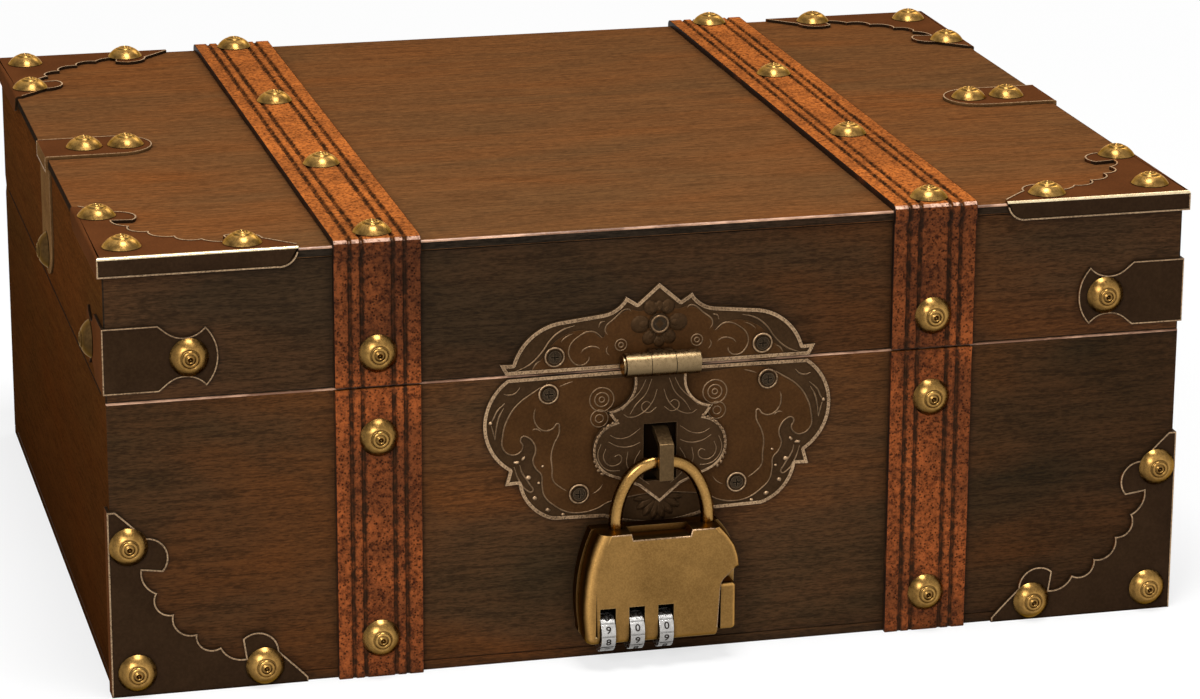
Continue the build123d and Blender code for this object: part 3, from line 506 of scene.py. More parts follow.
def board(node, material, edgeTest, wornHighlightTest=None, rim=None):
    low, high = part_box(node)
    startClean()
    bpy.ops.mesh.primitive_cube_add(size=1, location=(low + high) / 2)
    piece = bpy.context.object
    piece.scale = high - low
    bpy.ops.object.transform_apply()
    setMaterials(piece, material, wornEdgeHighlight, rim or woodEnd, woodRim)
    if rim:
        paint(piece, lambda face: 2 if abs(face.normal.z) < 0.5 else 0)
    elif material is not woodEnd:
        paint(piece, lambda face: 2 if abs(face.normal.x) > 0.5 else 0)

    def isWornHighlight(a, b):
        return wornHighlightTest is not None and wornHighlightTest(a, b, low, high)
    # the top front edges get the worn finish with its painted highlight
    if wornHighlightTest:
        pickEdges(piece, isWornHighlight)
        bevelPicked(boardSizes["worn"], boardSizes["steps"], 1)
    pickEdges(piece, lambda a, b: edgeTest(a, b, low, high) and not isWornHighlight(a, b)
              and (a - b).length > 2 * boardSizes["edge"])
    darkEdge = material is woodEnd or node == "lid_front_board"
    bevelPicked(boardSizes["edge"], boardSizes["steps"], 3 if darkEdge else -1)
    smooth(piece)
    settleFor(piece, node, "board", node.replace("_board", "_wood"))


def outerFront(a, b, low, high):
    return max(a.y, b.y) < low.y + boardSizes["near"]


def topFront(a, b, low, high):
    return outerFront(a, b, low, high) and min(a.z, b.z) > high.z - boardSizes["near"]


def outerSide(a, b, low, high):  # level edges only, since the ends butt against the front and back
    outer = low.x if low.x < 0 else high.x
    return max(abs(a.x - outer), abs(b.x - outer), abs(a.z - b.z)) < boardSizes["near"]


def allEdges(a, b, low, high):
    return True


for half, wood in (("base", woodFront), ("lid", woodLidShaded)):
    board(half + "_front_board", wood, outerFront, topFront if half == "base" else None)
    board(half + "_left_board", woodEnd, outerSide)
    board(half + "_right_board", woodEnd, outerSide)
    back = cadNodes[half + "_back_board"]
    back.data.materials.clear()
    setMaterials(back, wood, woodEnd)
    paint(back, lambda face: 1 if abs(face.normal.x) > 0.9 else 0)
board("lid_top_board", woodTop, allEdges, topFront, woodRim)
board("bottom_board", woodFront, allEdges)
print("boards done")


# Straps: a leather sheet that follows the chest's outline, with four pressed lines
strapSizes = {"thickness": 2.0 * mm, "grooves": (4.5 * mm, 7.9 * mm), "grooveHalf": 0.65 * mm,
              "depth": 0.5 * mm, "side": 0.4 * mm, "bend": 2.2 * mm, "bendSteps": 6, "step": 3.0 * mm,
              "waver": 0.18 * mm, "waverAlong": 90, "waverAcross": 900, "waverBand": 1 * mm,
              "edge": 0.35 * mm, "clear": 0.02 * mm, "bendFrom": 100 * mm}
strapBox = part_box("lid_strap_right")
strapX = (strapBox[0].x + strapBox[1].x) / 2
strapHalf = (strapBox[1].x - strapBox[0].x) / 2


leatherLook = {"pebbles": 1000.0, "wander": 0.5 * mm, "wanderScale": 650.0, "stainNear": 0.45 * mm,
               "stainFar": 1.1 * mm, "darkFrom": 0.15 * mm, "darkTo": 0.02 * mm, "shadeReach": 2 * mm}


def leatherMaterial(name, tan, brown, worn, specular=0.0, lidShade=False):
    material, tree, shader, where = newMaterial(name, 0.42, specular=specular)
    cells = {"Vector": where, "Scale": leatherLook["pebbles"], "Randomness": 1.0}
    pebbles = addNode(tree, "ShaderNodeTexVoronoi", cells)
    pits = rampNode(tree, pebbles.outputs["Distance"], [(0.1, 0.0), (0.42, 1.0)])
    spots = useGroup(tree, mottle, Vector=where, BlotchScale=42.0, SpeckScale=760.0)
    body = mixColour(tree, spots["Specks"], tan, brown)
    body = mixColour(tree, pits, darker(brown, 0.3), body)
    colour = shadeBy(tree, body, rampNode(tree, spots["Blotches"], [(0.1, (1.12, 1.08, 1.0)), (0.8, worn)]))
    parts = splitNode(tree, where)
    across = mathNode(tree, "SUBTRACT", mathNode(tree, "ABSOLUTE", parts["X"]), strapX)
    fromMiddle = mathNode(tree, "ABSOLUTE", across)
    uneven = noiseNode(tree, where, leatherLook["wanderScale"], detail=3.0, roughness=0.7)
    wander = rangeNode(tree, uneven, 0.3, 0.7, -leatherLook["wander"], leatherLook["wander"])
    ragged = mathNode(tree, "ADD", fromMiddle, wander)
    stain = 0.0
    for groove in strapSizes["grooves"]:  # dark stain along the pressed lines, with ragged sides
        near = mathNode(tree, "ABSOLUTE", mathNode(tree, "SUBTRACT", ragged, groove))
        band = rangeNode(tree, near, leatherLook["stainNear"], leatherLook["stainFar"], 1.0, 0.0)
        stain = mathNode(tree, "MAXIMUM", stain, band)
    strong = rampNode(tree, noiseNode(tree, where, scale=420.0, detail=4.0), [(0.36, 0.25), (0.56, 0.95)])
    colour = mixColour(tree, mathNode(tree, "MULTIPLY", stain, strong), colour, (0.024, 0.0115, 0.0055))
    edge = rangeNode(tree, fromMiddle, strapHalf - leatherLook["darkFrom"], strapHalf - leatherLook["darkTo"])
    colour = mixColour(tree, edge, colour, (0.02, 0.01, 0.006))
    if lidShade:  # painted shade: darker on the lid than on the base
        height = rangeNode(tree, parts["Z"], chestSizes["seam"], strapSizes["bendFrom"], 1.0, 0.68)
        lidShadeTint = rampNode(tree, height, [(0.68, (0.62, 0.66, 0.75)), (1.0, (1.0, 1.0, 1.0))])
        colour = shadeBy(tree, colour, lidShadeTint)
    # painted shade where the strap meets other parts
    shading = useGroup(tree, paintedShade, Reach=leatherLook["shadeReach"], Corners=0.7, Undersides=0.0)
    colour = mixColour(tree, shading["Mask"], colour, (0.02, 0.009, 0.004))
    finishSurface(tree, shader, colour, None, pits, strength=0.35, depth=0.08 * mm)
    return material


leather = leatherMaterial("leather", (0.27, 0.071, 0.0185), (0.07, 0.0185, 0.0066), (0.55, 0.58, 0.66),
                          specular=0.03, lidShade=True)
# painted light: a lit copy of the strap leather for its top
leatherLitTop = leatherMaterial("leatherLitTop", (0.43, 0.128, 0.027), (0.175, 0.05, 0.0135), (0.75, 0.75, 0.78))
# painted highlight: a pale copy of the strap leather for the bend
leatherBendHighlight = leatherMaterial("leatherBendHighlight", (0.8, 0.52, 0.4), (0.42, 0.22, 0.15), (0.7, 0.66, 0.62))


def roundedRoute(corners, radius):  # points along a route of (y, z) corners, with its square turns rounded
    points = [corners[0]]
    for before, here, after in zip(corners, corners[1:], corners[2:]):
        into = (here - before).normalized()
        away = (after - here).normalized()
        if into.dot(away) > 0.5:
            points.append(here)
            continue
        for step in range(strapSizes["bendSteps"] + 1):
            turn = math.pi / 2 * step / strapSizes["bendSteps"]
            points.append(here - radius * into * (1 - math.sin(turn)) + radius * away * (1 - math.cos(turn)))
    points.append(corners[-1])
    route = [points[0]]
    for start, there in zip(points, points[1:]):
        count = max(1, round((there - start).length / strapSizes["step"]))
        route += [start.lerp(there, i / count) for i in range(1, count + 1)]
    return route


def acrossStations():  # places across a strap and the depth of its surface there
    stations = [(-strapHalf, 0.0), (-strapHalf + strapSizes["side"], 0.0)]
    for groove in reversed(strapSizes["grooves"]):
        for off, depth in ((-1, 0), (-0.4, 1), (0.4, 1), (1, 0)):
            stations.append((-groove + off * strapSizes["grooveHalf"], depth * strapSizes["depth"]))
    stations.append((0.0, 0.0))
    return stations + [(-x, depth) for x, depth in reversed(stations[:-1])]


def leatherSlot(face):  # front, lit top or painted-highlight bend, where the sides of the grooves on top count as flat
    normal = face.normal
    if normal.z > 0.86 or normal.z > 0.3 and abs(normal.x) > 0.3:
        return 1
    return 2 if normal.z > 0.5 and face.center.z > strapSizes["bendFrom"] else 0


def strap(name, node, corners):
    low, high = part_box(node)
    middle = (low.x + high.x) / 2
    route = roundedRoute(corners, strapSizes["bend"])
    stations = acrossStations()
    last = len(route) - 1
    startClean()
    bpy.ops.mesh.primitive_grid_add(x_subdivisions=len(stations) - 1, y_subdivisions=last, size=1)
    piece = bpy.context.object
    for index, vertex in enumerate(piece.data.vertices):
        row, column = divmod(index, len(stations))
        x, depth = stations[column]
        here = route[row]
        ahead = route[min(row + 1, last)] - route[max(row - 1, 0)]
        outwards = Vector((-ahead.y, ahead.x)).normalized()
        if abs(x) > strapHalf - strapSizes["waverBand"] and 0 < row < last:
            along = strapSizes["waverAlong"]
            seed = Vector((here.x * along, here.y * along, x * strapSizes["waverAcross"]))
            x += strapSizes["waver"] * noise.noise(seed)
        spot = here - outwards * depth
        vertex.co = (middle + x, spot.x, spot.y)
    setMaterials(piece, leather, leatherLitTop, leatherBendHighlight)
    editAll(piece)
    bpy.ops.mesh.normals_make_consistent(inside=False)
    setMode("OBJECT")
    first = piece.data.polygons[0]
    if first.normal.y * first.center.y < 0:
        editAll(piece)
        bpy.ops.mesh.flip_normals()
        setMode("OBJECT")
    shape(piece, "SOLIDIFY", thickness=strapSizes["thickness"] - strapSizes["clear"], offset=-1.0)
    shape(piece, "BEVEL", width=strapSizes["edge"], segments=2, limit_method="ANGLE",
          angle_limit=math.radians(60))
    paint(piece, leatherSlot)
    smooth(piece, 50)
    settleFor(piece, node, "strap", name)


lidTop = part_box("lid_top_board")
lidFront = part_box("lid_front_board")
for side in ("left", "right"):
    node = "lid_strap_" + side
    low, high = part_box(node)
    wallY, edgeY = lidFront[0].y - strapSizes["thickness"], low.y
    stepZ, seamZ = lidTop[0].z, lidFront[0].z
    up = [Vector((wallY, low.z)), Vector((wallY, stepZ - (wallY - edgeY))), Vector((edgeY, stepZ)),
          Vector((edgeY, high.z))]
    down = [Vector((-point.x, point.y)) for point in reversed(up)]
    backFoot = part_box("base_back_strap_" + side)
    down[-1] = Vector((-wallY, 2 * seamZ - backFoot[1].z))  # as far above the seam as the base's ends below
    strap("strap_lid_" + side, node, up + down)
    for end in ("front", "back"):
        node = "base_" + end + "_strap_" + side
        low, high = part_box(node)
        ends = [Vector((low.y, low.z)), Vector((low.y, high.z))]
        if end == "back":
            ends = [Vector((high.y, high.z)), Vector((high.y, low.z))]
        strap("strap_base_" + end + "_" + side, node, ends)
print("straps done")


# Tacks: a dome with two pressed rings and a hole in the middle, spun once and copied to every place
tackSizes = {"radius": 5.5 * mm, "height": 3.4 * mm, "steps": 28, "turn": 1.1, "near": 0.1 * mm}
tackProfile = [  # shares of the radius and of the height, from the rim to the middle
    (1.0, 0.0), (1.02, 0.06), (0.985, 0.14), (0.94, 0.24), (0.87, 0.38), (0.76, 0.55), (0.64, 0.69),
    (0.56, 0.765), (0.525, 0.77), (0.5, 0.72), (0.47, 0.725), (0.44, 0.83), (0.4, 0.89), (0.34, 0.93),
    (0.3, 0.93), (0.27, 0.86), (0.24, 0.87), (0.2, 0.97), (0.16, 1.0), (0.11, 0.93), (0.08, 0.76), (0.0, 0.7),
]


def makeTack():
    startClean()
    bpy.ops.mesh.primitive_plane_add(size=1)
    piece = bpy.context.object
    setMode("EDIT")
    bpy.ops.mesh.select_mode(type="VERT")
    bpy.ops.mesh.merge(type="CENTER")
    spots = [Vector((x * tackSizes["radius"], 0, z * tackSizes["height"])) for x, z in tackProfile]
    bpy.ops.transform.translate(value=spots[0])
    for here, there in zip(spots, spots[1:]):
        bpy.ops.mesh.extrude_vertices_move(TRANSFORM_OT_translate={"value": there - here})
    bpy.ops.mesh.select_all(action="SELECT")
    bpy.ops.mesh.spin(steps=tackSizes["steps"], angle=2 * math.pi, center=(0, 0, 0), axis=(0, 0, 1))
    bpy.ops.mesh.select_all(action="SELECT")
    bpy.ops.mesh.remove_doubles(threshold=mergeSizes["gap"])
    bpy.ops.mesh.select_all(action="DESELECT")
    bpy.ops.mesh.select_mode(type="EDGE")
    bpy.ops.mesh.select_non_manifold()
    bpy.ops.mesh.edge_face_add()
    bpy.ops.mesh.select_all(action="SELECT")
    bpy.ops.mesh.normals_make_consistent(inside=False)
    setMode("OBJECT")
    smooth(piece, 60)
    setMaterials(piece, tackMetal, endTackShaded)
    return piece


def tackPlaces(node):  # seat and outward direction of each tack, read from the node's separate solids
    editAll(copyOf(node))
    bpy.ops.mesh.separate(type="LOOSE")
    setMode("OBJECT")
    places = []
    for solid in list(bpy.context.selected_objects):
        low, high = Vector(solid.bound_box[0]), Vector(solid.bound_box[6])
        wide = 2 * tackSizes["radius"]  # the tack points along the side that isn't this long
        axis = next(i for i in range(3) if abs(high[i] - low[i] - wide) > tackSizes["near"])
        sign = 1 if (low + high)[axis] > 0 else -1
        seat = (low + high) / 2
        seat[axis] = (high if sign > 0 else low)[axis] - sign * tackSizes["height"]
        places.append((seat, Vector([sign if i == axis else 0 for i in range(3)])))
        bpy.data.objects.remove(solid)
    return sorted(places, key=lambda place: tuple(round(value / mm, 2) for value in place[0]))


tackModel = makeTack()
for half in ("lid", "base"):
    copies = []
    for number, (seat, outwards) in enumerate(tackPlaces(half + "_tacks")):
        tack = putInScene("tack", tackModel.data.copy())
        tilt = outwards.to_track_quat("Z", "Y").to_matrix().to_4x4()
        turn = Matrix.Rotation(number * tackSizes["turn"], 4, "Z")
        tack.matrix_world = Matrix.Translation(seat) @ tilt @ turn
        # painted shade: tacks on the ends take the darker copy of the tack metal
        paint(tack, lambda face: 1 if abs(outwards.x) > 0.5 else 0)
        copies.append(tack)
    settle(join(copies), half + "_dome_tacks", half, "tack", half + "_tacks")
bpy.data.objects.remove(tackModel)
print("tacks done")


# Pressed plates: merged copies of the nodes with their edges eased and bright raised rims
rimSizes = {"width": 0.4 * mm, "height": 0.2 * mm, "round": 0.09 * mm, "level": 0.06 * mm}
plateSizes = {"fold": 0.75 * mm, "foldSteps": 3, "foldLength": 5 * mm, "near": 0.05 * mm,
              "topClear": 1.6 * mm, "sideClear": 1.4 * mm, "footClear": 0.8 * mm}
ways = {"front": Vector((0, -1, 0)), "back": Vector((0, 1, 0)), "left": Vector((-1, 0, 0)),
        "right": Vector((1, 0, 0)), "up": Vector((0, 0, 1))}


def ease(piece, width, angle=40):
    shape(piece, "BEVEL", width=width, segments=2, limit_method="ANGLE", angle_limit=math.radians(angle))
    smooth(piece)
    shape(piece, "WEIGHTED_NORMAL", weight=100, keep_sharp=True)  # flat faces stay flat beside eased edges


def reachOf(piece, way):
    return max(v.co.dot(way) for v in piece.data.vertices)


def raiseRim(piece, way, keep=None, level=None, width=rimSizes["width"], height=rimSizes["height"]):
    far = reachOf(piece, way) if level is None else level

    def onFace(centre, normal):
        return normal.dot(way) > 0.99 and abs(centre.dot(way) - far) < rimSizes["level"]
    pickFaces(piece, onFace)
    bpy.ops.mesh.inset(thickness=width, depth=0)
    setMode("OBJECT")
    for face in piece.data.polygons:
        rim = not face.select and onFace(face.center, face.normal)
        face.select = rim and (keep is None or keep(face.center))
        if face.select:
            face.material_index = 1
    for part in (*piece.data.vertices, *piece.data.edges):  # edges still picked would be extruded too
        part.select = False
    setMode("EDIT")
    bpy.ops.mesh.extrude_region_move(TRANSFORM_OT_translate={"value": way * height})
    setMode("OBJECT")


def cornerPiece(node, end, side):
    piece = copyOf(node)
    outs = (ways[end], ways[side])
    reach = [reachOf(piece, way) for way in outs]
    top = reachOf(piece, ways["up"])
    onTop = node.startswith("lid_corner_plate")
    setMaterials(piece, topPlate if onTop else darkPlate, edgeMetal, darkPlate, foldHighlight, topPlate)
    if onTop:
        paint(piece, lambda face: 0 if face.normal.z > 0.9 else 2)
        # the front or back fold gets the painted highlight, the side fold the top metal
        for way, far, finish in ((outs[0], reach[0], 3), (outs[1], reach[1], 0)):
            pickEdges(piece, lambda a, b: min(a.z, b.z) > top - plateSizes["near"]
                      and min(a.dot(way), b.dot(way)) > far - plateSizes["near"]
                      and (a - b).length > plateSizes["foldLength"])
            bevelPicked(plateSizes["fold"], plateSizes["foldSteps"], finish)
            setMode("OBJECT")
    # painted light: faces to the ends take the lighter top metal
    paint(piece, lambda face: 4 if abs(face.normal.x) > 0.9 else face.material_index)
    if onTop:
        raiseRim(piece, ways["up"], lambda c: all(c.dot(way) < far - plateSizes["topClear"]
                                                  for way, far in zip(outs, reach)))
        raiseRim(piece, outs[0], lambda c: c.z < top - plateSizes["sideClear"])
    elif node.startswith("base"):
        raiseRim(piece, outs[0], lambda c: c.z > plateSizes["footClear"])
    else:
        raiseRim(piece, outs[0])
    ease(piece, rimSizes["round"])
    settleFor(piece, node, "corner_metal")


def endBracket(node, side):
    piece = copyOf(node)
    setMaterials(piece, topPlate, edgeMetal, sidePlate)
    # painted light: the bracket's faces other than its top take the lighter side metal
    paint(piece, lambda face: 0 if face.normal.z > 0.9 else 2)
    way = ways[side]
    far, top = reachOf(piece, way), reachOf(piece, ways["up"])
    raiseRim(piece, ways["up"], lambda c: c.dot(way) < far - plateSizes["sideClear"])
    raiseRim(piece, way, lambda c: c.z < top - plateSizes["sideClear"])
    ease(piece, rimSizes["round"])
    settleFor(piece, node, "corner_metal")


for side in ("left", "right"):
    for kind in ("lid_corner_plate_front_", "base_corner_plate_front_", "lid_corner_clip_front_"):
        cornerPiece(kind + side, "front", side)
    cornerPiece("lid_corner_plate_back_" + side, "back", side)
    endBracket("lid_end_bracket_" + side, side)
print("corner metal done")


# Latch: plates with bright rims, then the ornament laid on them
latchSizes = {"plate": 125.8 * mm, "rim": 126.1 * mm, "flap": 128.1 * mm, "knuckles": 126.5 * mm,
              "pinZ": 90 * mm, "knuckleHalf": 3.6 * mm, "edge": 0.1 * mm, "near": 0.03 * mm}
flapSizes = {"barrelZ": 86.4 * mm, "proud": 0.1 * mm, "rimTop": 86 * mm, "slotHalf": 6.2 * mm,
             "slotLow": 53 * mm, "slotHigh": 72.8 * mm, "rim": 0.7 * mm, "rimHeight": 0.15 * mm}


def plateSlot(face):  # the knuckles, the plate's rim or its field
    centre = face.center
    if centre.y < -latchSizes["knuckles"] and abs(centre.z - latchSizes["pinZ"]) < latchSizes["knuckleHalf"]:
        return 2
    return 1 if abs(centre.y + latchSizes["rim"]) < latchSizes["near"] and face.normal.y < -0.9 else 0


def flapSlot(face):
    inFront = face.center.y < -latchSizes["flap"] - flapSizes["proud"]
    return 2 if inFront or face.center.z > flapSizes["barrelZ"] else 0


def onFlapRim(centre):  # all round the flap but not at its barrel or slot
    inSlot = abs(centre.x) < flapSizes["slotHalf"] and flapSizes["slotLow"] < centre.z < flapSizes["slotHigh"]
    return centre.z < flapSizes["rimTop"] and not inSlot


for node in ("latch_lid_plate", "latch_base_plate", "hasp_flap"):
    piece = copyOf(node)
    setMaterials(piece, latchMetal, edgeMetal, barrelMetal)
    paint(piece, flapSlot if node == "hasp_flap" else plateSlot)
    if node == "hasp_flap":
        raiseRim(piece, ways["front"], onFlapRim, latchSizes["flap"], flapSizes["rim"],
                 flapSizes["rimHeight"])
    ease(piece, latchSizes["edge"])
    settleFor(piece, node, "latch")

lidLines = [  # left halves, as (x, z) in millimetres
    [(-43.1, 89.1), (-38.5, 91.0), (-34.8, 94.4), (-31.9, 98.4), (-28.5, 100.9), (-25.0, 101.9)],
    [(-29.7, 96.6), (-27.7, 98.6), (-24.3, 100.0)],
    [(-37.7, 88.9), (-36.3, 91.3), (-34.4, 92.3)],
    [(-16.3, 97.2), (-19.8, 99.8), (-24.1, 98.4), (-26.7, 95.1), (-26.0, 91.6), (-23.3, 89.9),
     (-20.9, 91.2), (-20.8, 93.0)],
    [(-23.6, 93.0), (-22.0, 94.8), (-18.9, 95.2), (-16.9, 93.9)],
    [(-14.6, 97.6), (-16.0, 100.2), (-13.2, 103.3), (-9.3, 105.8), (-7.9, 104.4)],
    [(-17.9, 100.9), (-17.3, 102.3), (-16.1, 102.6)],
    [(-14.2, 91.8), (-15.6, 93.6), (-14.8, 95.8)],
]
baseLines = [
    [(-36.3, 78.6), (-37.0, 76.1), (-36.3, 72.8), (-33.8, 70.9), (-31.4, 71.4), (-29.9, 72.8),
     (-29.5, 71.2), (-29.7, 69.5), (-31.1, 66.6), (-31.9, 63.2), (-31.6, 59.1), (-31.4, 55.8),
     (-29.1, 53.3), (-26.4, 51.6)],
    [(-38.0, 71.2), (-36.3, 71.6), (-34.3, 70.1)],
    [(-45.8, 82.8), (-44.6, 82.4), (-42.6, 82.8), (-41.2, 84.2)],
    [(-45.6, 80.0), (-47.8, 77.9), (-49.0, 75.5), (-49.8, 74.2)],
    [(-45.9, 78.6), (-47.2, 76.2), (-48.0, 73.2), (-48.5, 69.2)],
    [(-49.6, 73.6), (-49.0, 71.4), (-48.5, 69.2)],
    [(-42.9, 60.6), (-41.7, 56.9), (-39.4, 53.4), (-37.5, 52.7), (-38.4, 55.2), (-40.6, 58.8),
     (-41.2, 61.0)],
    [(-30.4, 83.6), (-27.6, 84.6), (-24.6, 85.5)],
    [(-20.6, 50.2), (-17.8, 51.6), (-16.0, 54.2)],
]
bladeLines = [  # on the flap
    [(-4.3, 85.0), (-6.2, 81.4), (-9.3, 78.3), (-11.4, 76.2)],
    [(-2.6, 85.0), (-4.4, 80.6), (-7.4, 77.4), (-9.0, 74.8)],
    [(-10.9, 74.8), (-9.4, 73.9), (-5.9, 74.6), (-2.4, 78.0), (-1.0, 81.8)],
    [(-1.2, 76.4), (-3.6, 74.9), (-5.6, 76.4), (-4.4, 78.3), (-2.9, 77.6)],
    [(-14.9, 68.8), (-12.8, 67.7), (-9.6, 67.9), (-6.0, 70.2)],
    [(-15.4, 66.8), (-12.4, 65.2), (-8.6, 65.0), (-6.0, 66.0)],
    [(-17.6, 66.4), (-18.6, 63.2), (-17.6, 60.0), (-15.4, 58.2), (-12.0, 57.8)],
    [(-16.2, 64.8), (-16.9, 62.2), (-15.4, 59.8), (-12.9, 59.6), (-11.5, 61.0), (-12.2, 62.6),
     (-13.6, 62.2)],
    [(-5.9, 63.6), (-7.6, 60.0), (-7.0, 56.6), (-3.2, 53.0)],
    [(-9.6, 63.4), (-9.9, 59.6), (-8.0, 56.0)],
    [(-12.6, 56.2), (-9.4, 54.2), (-6.4, 53.0), (-3.4, 51.2), (-0.9, 48.6)],
]
ropeLine = [
    (-12.9, 73.0), (-16.2, 71.4), (-18.6, 68.5), (-19.6, 65.0), (-19.5, 61.0), (-18.4, 58.4),
    (-16.4, 56.4),
]
panelLine = [
    (0.0, 85.4), (-14.0, 85.4), (-32.9, 85.3), (-37.3, 82.6), (-41.7, 79.5), (-44.8, 75.2), (-46.3, 69.8),
    (-46.1, 66.3), (-43.6, 64.3), (-41.2, 64.9), (-40.3, 66.8), (-41.0, 68.4), (-40.4, 69.6),
    (-39.2, 69.5), (-37.0, 67.3), (-36.5, 65.0), (-37.3, 62.1), (-36.5, 59.7), (-34.8, 57.6),
    (-34.6, 54.3), (-33.8, 50.9), (-30.9, 47.9), (-27.4, 45.8), (-23.4, 45.1), (-18.5, 45.9),
    (-15.0, 47.6), (-8.0, 49.0), (0.0, 49.6),
]
lidPanelLine = [
    (0.0, 89.6), (-14.0, 89.6), (-37.4, 89.4), (-36.3, 91.3), (-33.6, 93.6), (-31.4, 96.9), (-28.6, 98.9),
    (-24.4, 100.4), (-19.8, 99.9), (-16.6, 97.8), (-16.0, 100.4), (-13.2, 103.3), (-9.1, 105.6),
    (-5.4, 105.0), (0.0, 106.6),
]
ornamentSizes = {"line": 0.27 * mm, "fine": 0.2 * mm, "panel": 0.14 * mm, "ends": 0.35, "steps": 5}


def mirrored(line):
    return [(-x, z) for x, z in line]


def both(lines):
    return lines + [mirrored(line) for line in lines]


def drawn(lines, place, closed=False, ends=1.0, **values):  # smooth curves through the points, made a mesh
    data = bpy.data.curves.new("drawn", "CURVE")
    for key, value in values.items():
        setattr(data, key, value)
    data.resolution_u = ornamentSizes["steps"]
    for line in lines:
        spline = data.splines.new("BEZIER")
        spline.bezier_points.add(len(line) - 1)
        spline.use_cyclic_u = closed
        for knot, (x, z) in zip(spline.bezier_points, line):
            knot.co = place(x * mm, z * mm)
            knot.handle_left_type = knot.handle_right_type = "AUTO"
        spline.bezier_points[0].radius = spline.bezier_points[-1].radius = ends
    return asMesh(putInScene("drawn", data))


def laidLines(lines, level, radius):  # a flat half-round wire along each line, thinner at its ends
    return drawn(lines, lambda x, z: (x, -level, z), ends=ornamentSizes["ends"], dimensions="3D",
                 bevel_depth=radius, bevel_resolution=2, use_fill_caps=True)


def laidPanel(half, level):  # a thin raised field inside a closed outline
    piece = drawn([half + mirrored(half[-2:0:-1])], lambda x, z: (x, z, 0), closed=True, dimensions="2D",
                  fill_mode="BOTH", extrude=ornamentSizes["panel"])
    piece.rotation_euler = (math.pi / 2, 0, 0)
    piece.location = (0, -level, 0)
    bpy.ops.object.transform_apply()
    mergeAll(piece)
    return piece


def ring(x, z, level, radius, wire):
    startClean()
    bpy.ops.mesh.primitive_torus_add(major_radius=radius * mm, minor_radius=wire * mm, major_segments=28,
                                     minor_segments=8, location=(x * mm, -level, z * mm),
                                     rotation=(math.pi / 2, 0, 0))
    return bpy.context.object


def bead(x, z, level, long, wide, high, turn=0.0):
    startClean()
    bpy.ops.mesh.primitive_uv_sphere_add(segments=12, ring_count=8, radius=1,
                                         location=(x * mm, -level, z * mm), rotation=(0, -turn, 0))
    bpy.context.object.scale = (long * mm, high * mm, wide * mm)
    return bpy.context.object


def joined(parts, name, body, slotName, material):
    for part in parts:
        workOn(part)
        bpy.ops.object.transform_apply()
        part.data.materials.clear()
    piece = join(parts)
    setMaterials(piece, material)
    smooth(piece, 50)
    settle(piece, name, body, slotName)


plate, flap = latchSizes["plate"], latchSizes["flap"]
line, fine = ornamentSizes["line"], ornamentSizes["fine"]
outline = panelLine[2:]
for parts, name, body, material in (
    (laidPanel(panelLine, plate), "base_plate_field", "base", copperPanel),
    (laidPanel(lidPanelLine, plate), "lid_plate_field", "lid", copperPanel),
    (laidLines(both(baseLines) + both([outline]), plate, line), "base_plate_scrolls", "base", scrollMetal),
    (laidLines(both(lidLines), plate, line), "lid_plate_scrolls", "lid", scrollMetal),
    (laidLines(both(bladeLines), flap, fine), "flap_scrolls", "hasp", scrollMetal),
):
    joined([parts], name, body, "latch", material)

eyelets = {"lid": [(31.0, 93.0)], "base": [(32.8, 82.0), (23.7, 51.0)]}  # on both sides of the middle
plateRings = {  # x, z, proud, radius and wire in millimetres, on both sides too
    "lid": [(0.0, 101.0, 1.0, 2.4, 0.35), (11.3, 95.2, 0.1, 1.7, 0.22), (11.3, 95.2, 0.1, 0.7, 0.25)],
    "base": [(16.9, 79.1, 0.0, 3.6, 0.26), (16.9, 79.1, 0.0, 2.1, 0.26), (16.9, 79.1, 0.0, 0.8, 0.26),
             (17.6, 73.4, 0.0, 2.6, 0.24), (17.6, 73.4, 0.0, 1.2, 0.24)],
}
eyeletSizes = {"proud": 0.5 * mm, "radius": 2.75, "wire": 0.3}
for half, places in eyelets.items():
    rings = [ring(sign * x, z, plate + eyeletSizes["proud"], eyeletSizes["radius"], eyeletSizes["wire"])
             for x, z in places for sign in (-1, 1)]
    joined(rings, half + "_eyelet_rings", half, "latch", edgeMetal)
    rings = [ring(sign * x, z, plate + proud * mm, radius, wire)
             for x, z, proud, radius, wire in plateRings[half] for sign in ((-1, 1) if x else (1,))]
    joined(rings, half + "_plate_rings", half, "latch", scrollMetal)

flowerZ, leavesZ = 101, 48.6
innerPetal = {"far": 0.86, "long": 0.5, "wide": 0.4, "high": 0.5, "proud": 0.45 * mm}
petals = []
for turn, far, long, wide in ((0, 5.6, 3.0, 2.7), (180, 5.6, 3.0, 2.7), (62, 5.4, 2.4, 2.1),
                              (118, 5.4, 2.4, 2.1), (90, 5.2, 1.6, 1.5), (235, 5.0, 2.5, 2.1),
                              (305, 5.0, 2.5, 2.1), (270, 5.4, 1.9, 1.7)):
    angle = math.radians(turn)
    x, up = far * math.cos(angle), far * math.sin(angle)
    petals.append(bead(x, flowerZ + up, plate, long, wide, high=0.75, turn=angle))
    petals.append(bead(x * innerPetal["far"], flowerZ + up * innerPetal["far"], plate + innerPetal["proud"],
                       long * innerPetal["long"], wide * innerPetal["wide"], innerPetal["high"], angle))
petals.append(bead(0, flowerZ, plate, long=3.2, wide=3.2, high=1.0))
joined(petals, "lid_plate_flower", "lid", "latch", latchMetal)

leaves = []
for turn in range(-84, 85, 24):
    angle = math.radians(turn - 90)
    for far, long, wide, high in ((4.2, 3.4, 1.25, 0.75), (5.6, 1.6, 0.5, 0.95)):
        x, z = far * math.cos(angle), leavesZ + far * math.sin(angle)
        leaves.append(bead(x, z, plate, long, wide, high, angle))
joined(leaves, "base_plate_leaves", "base", "latch", latchMetal)

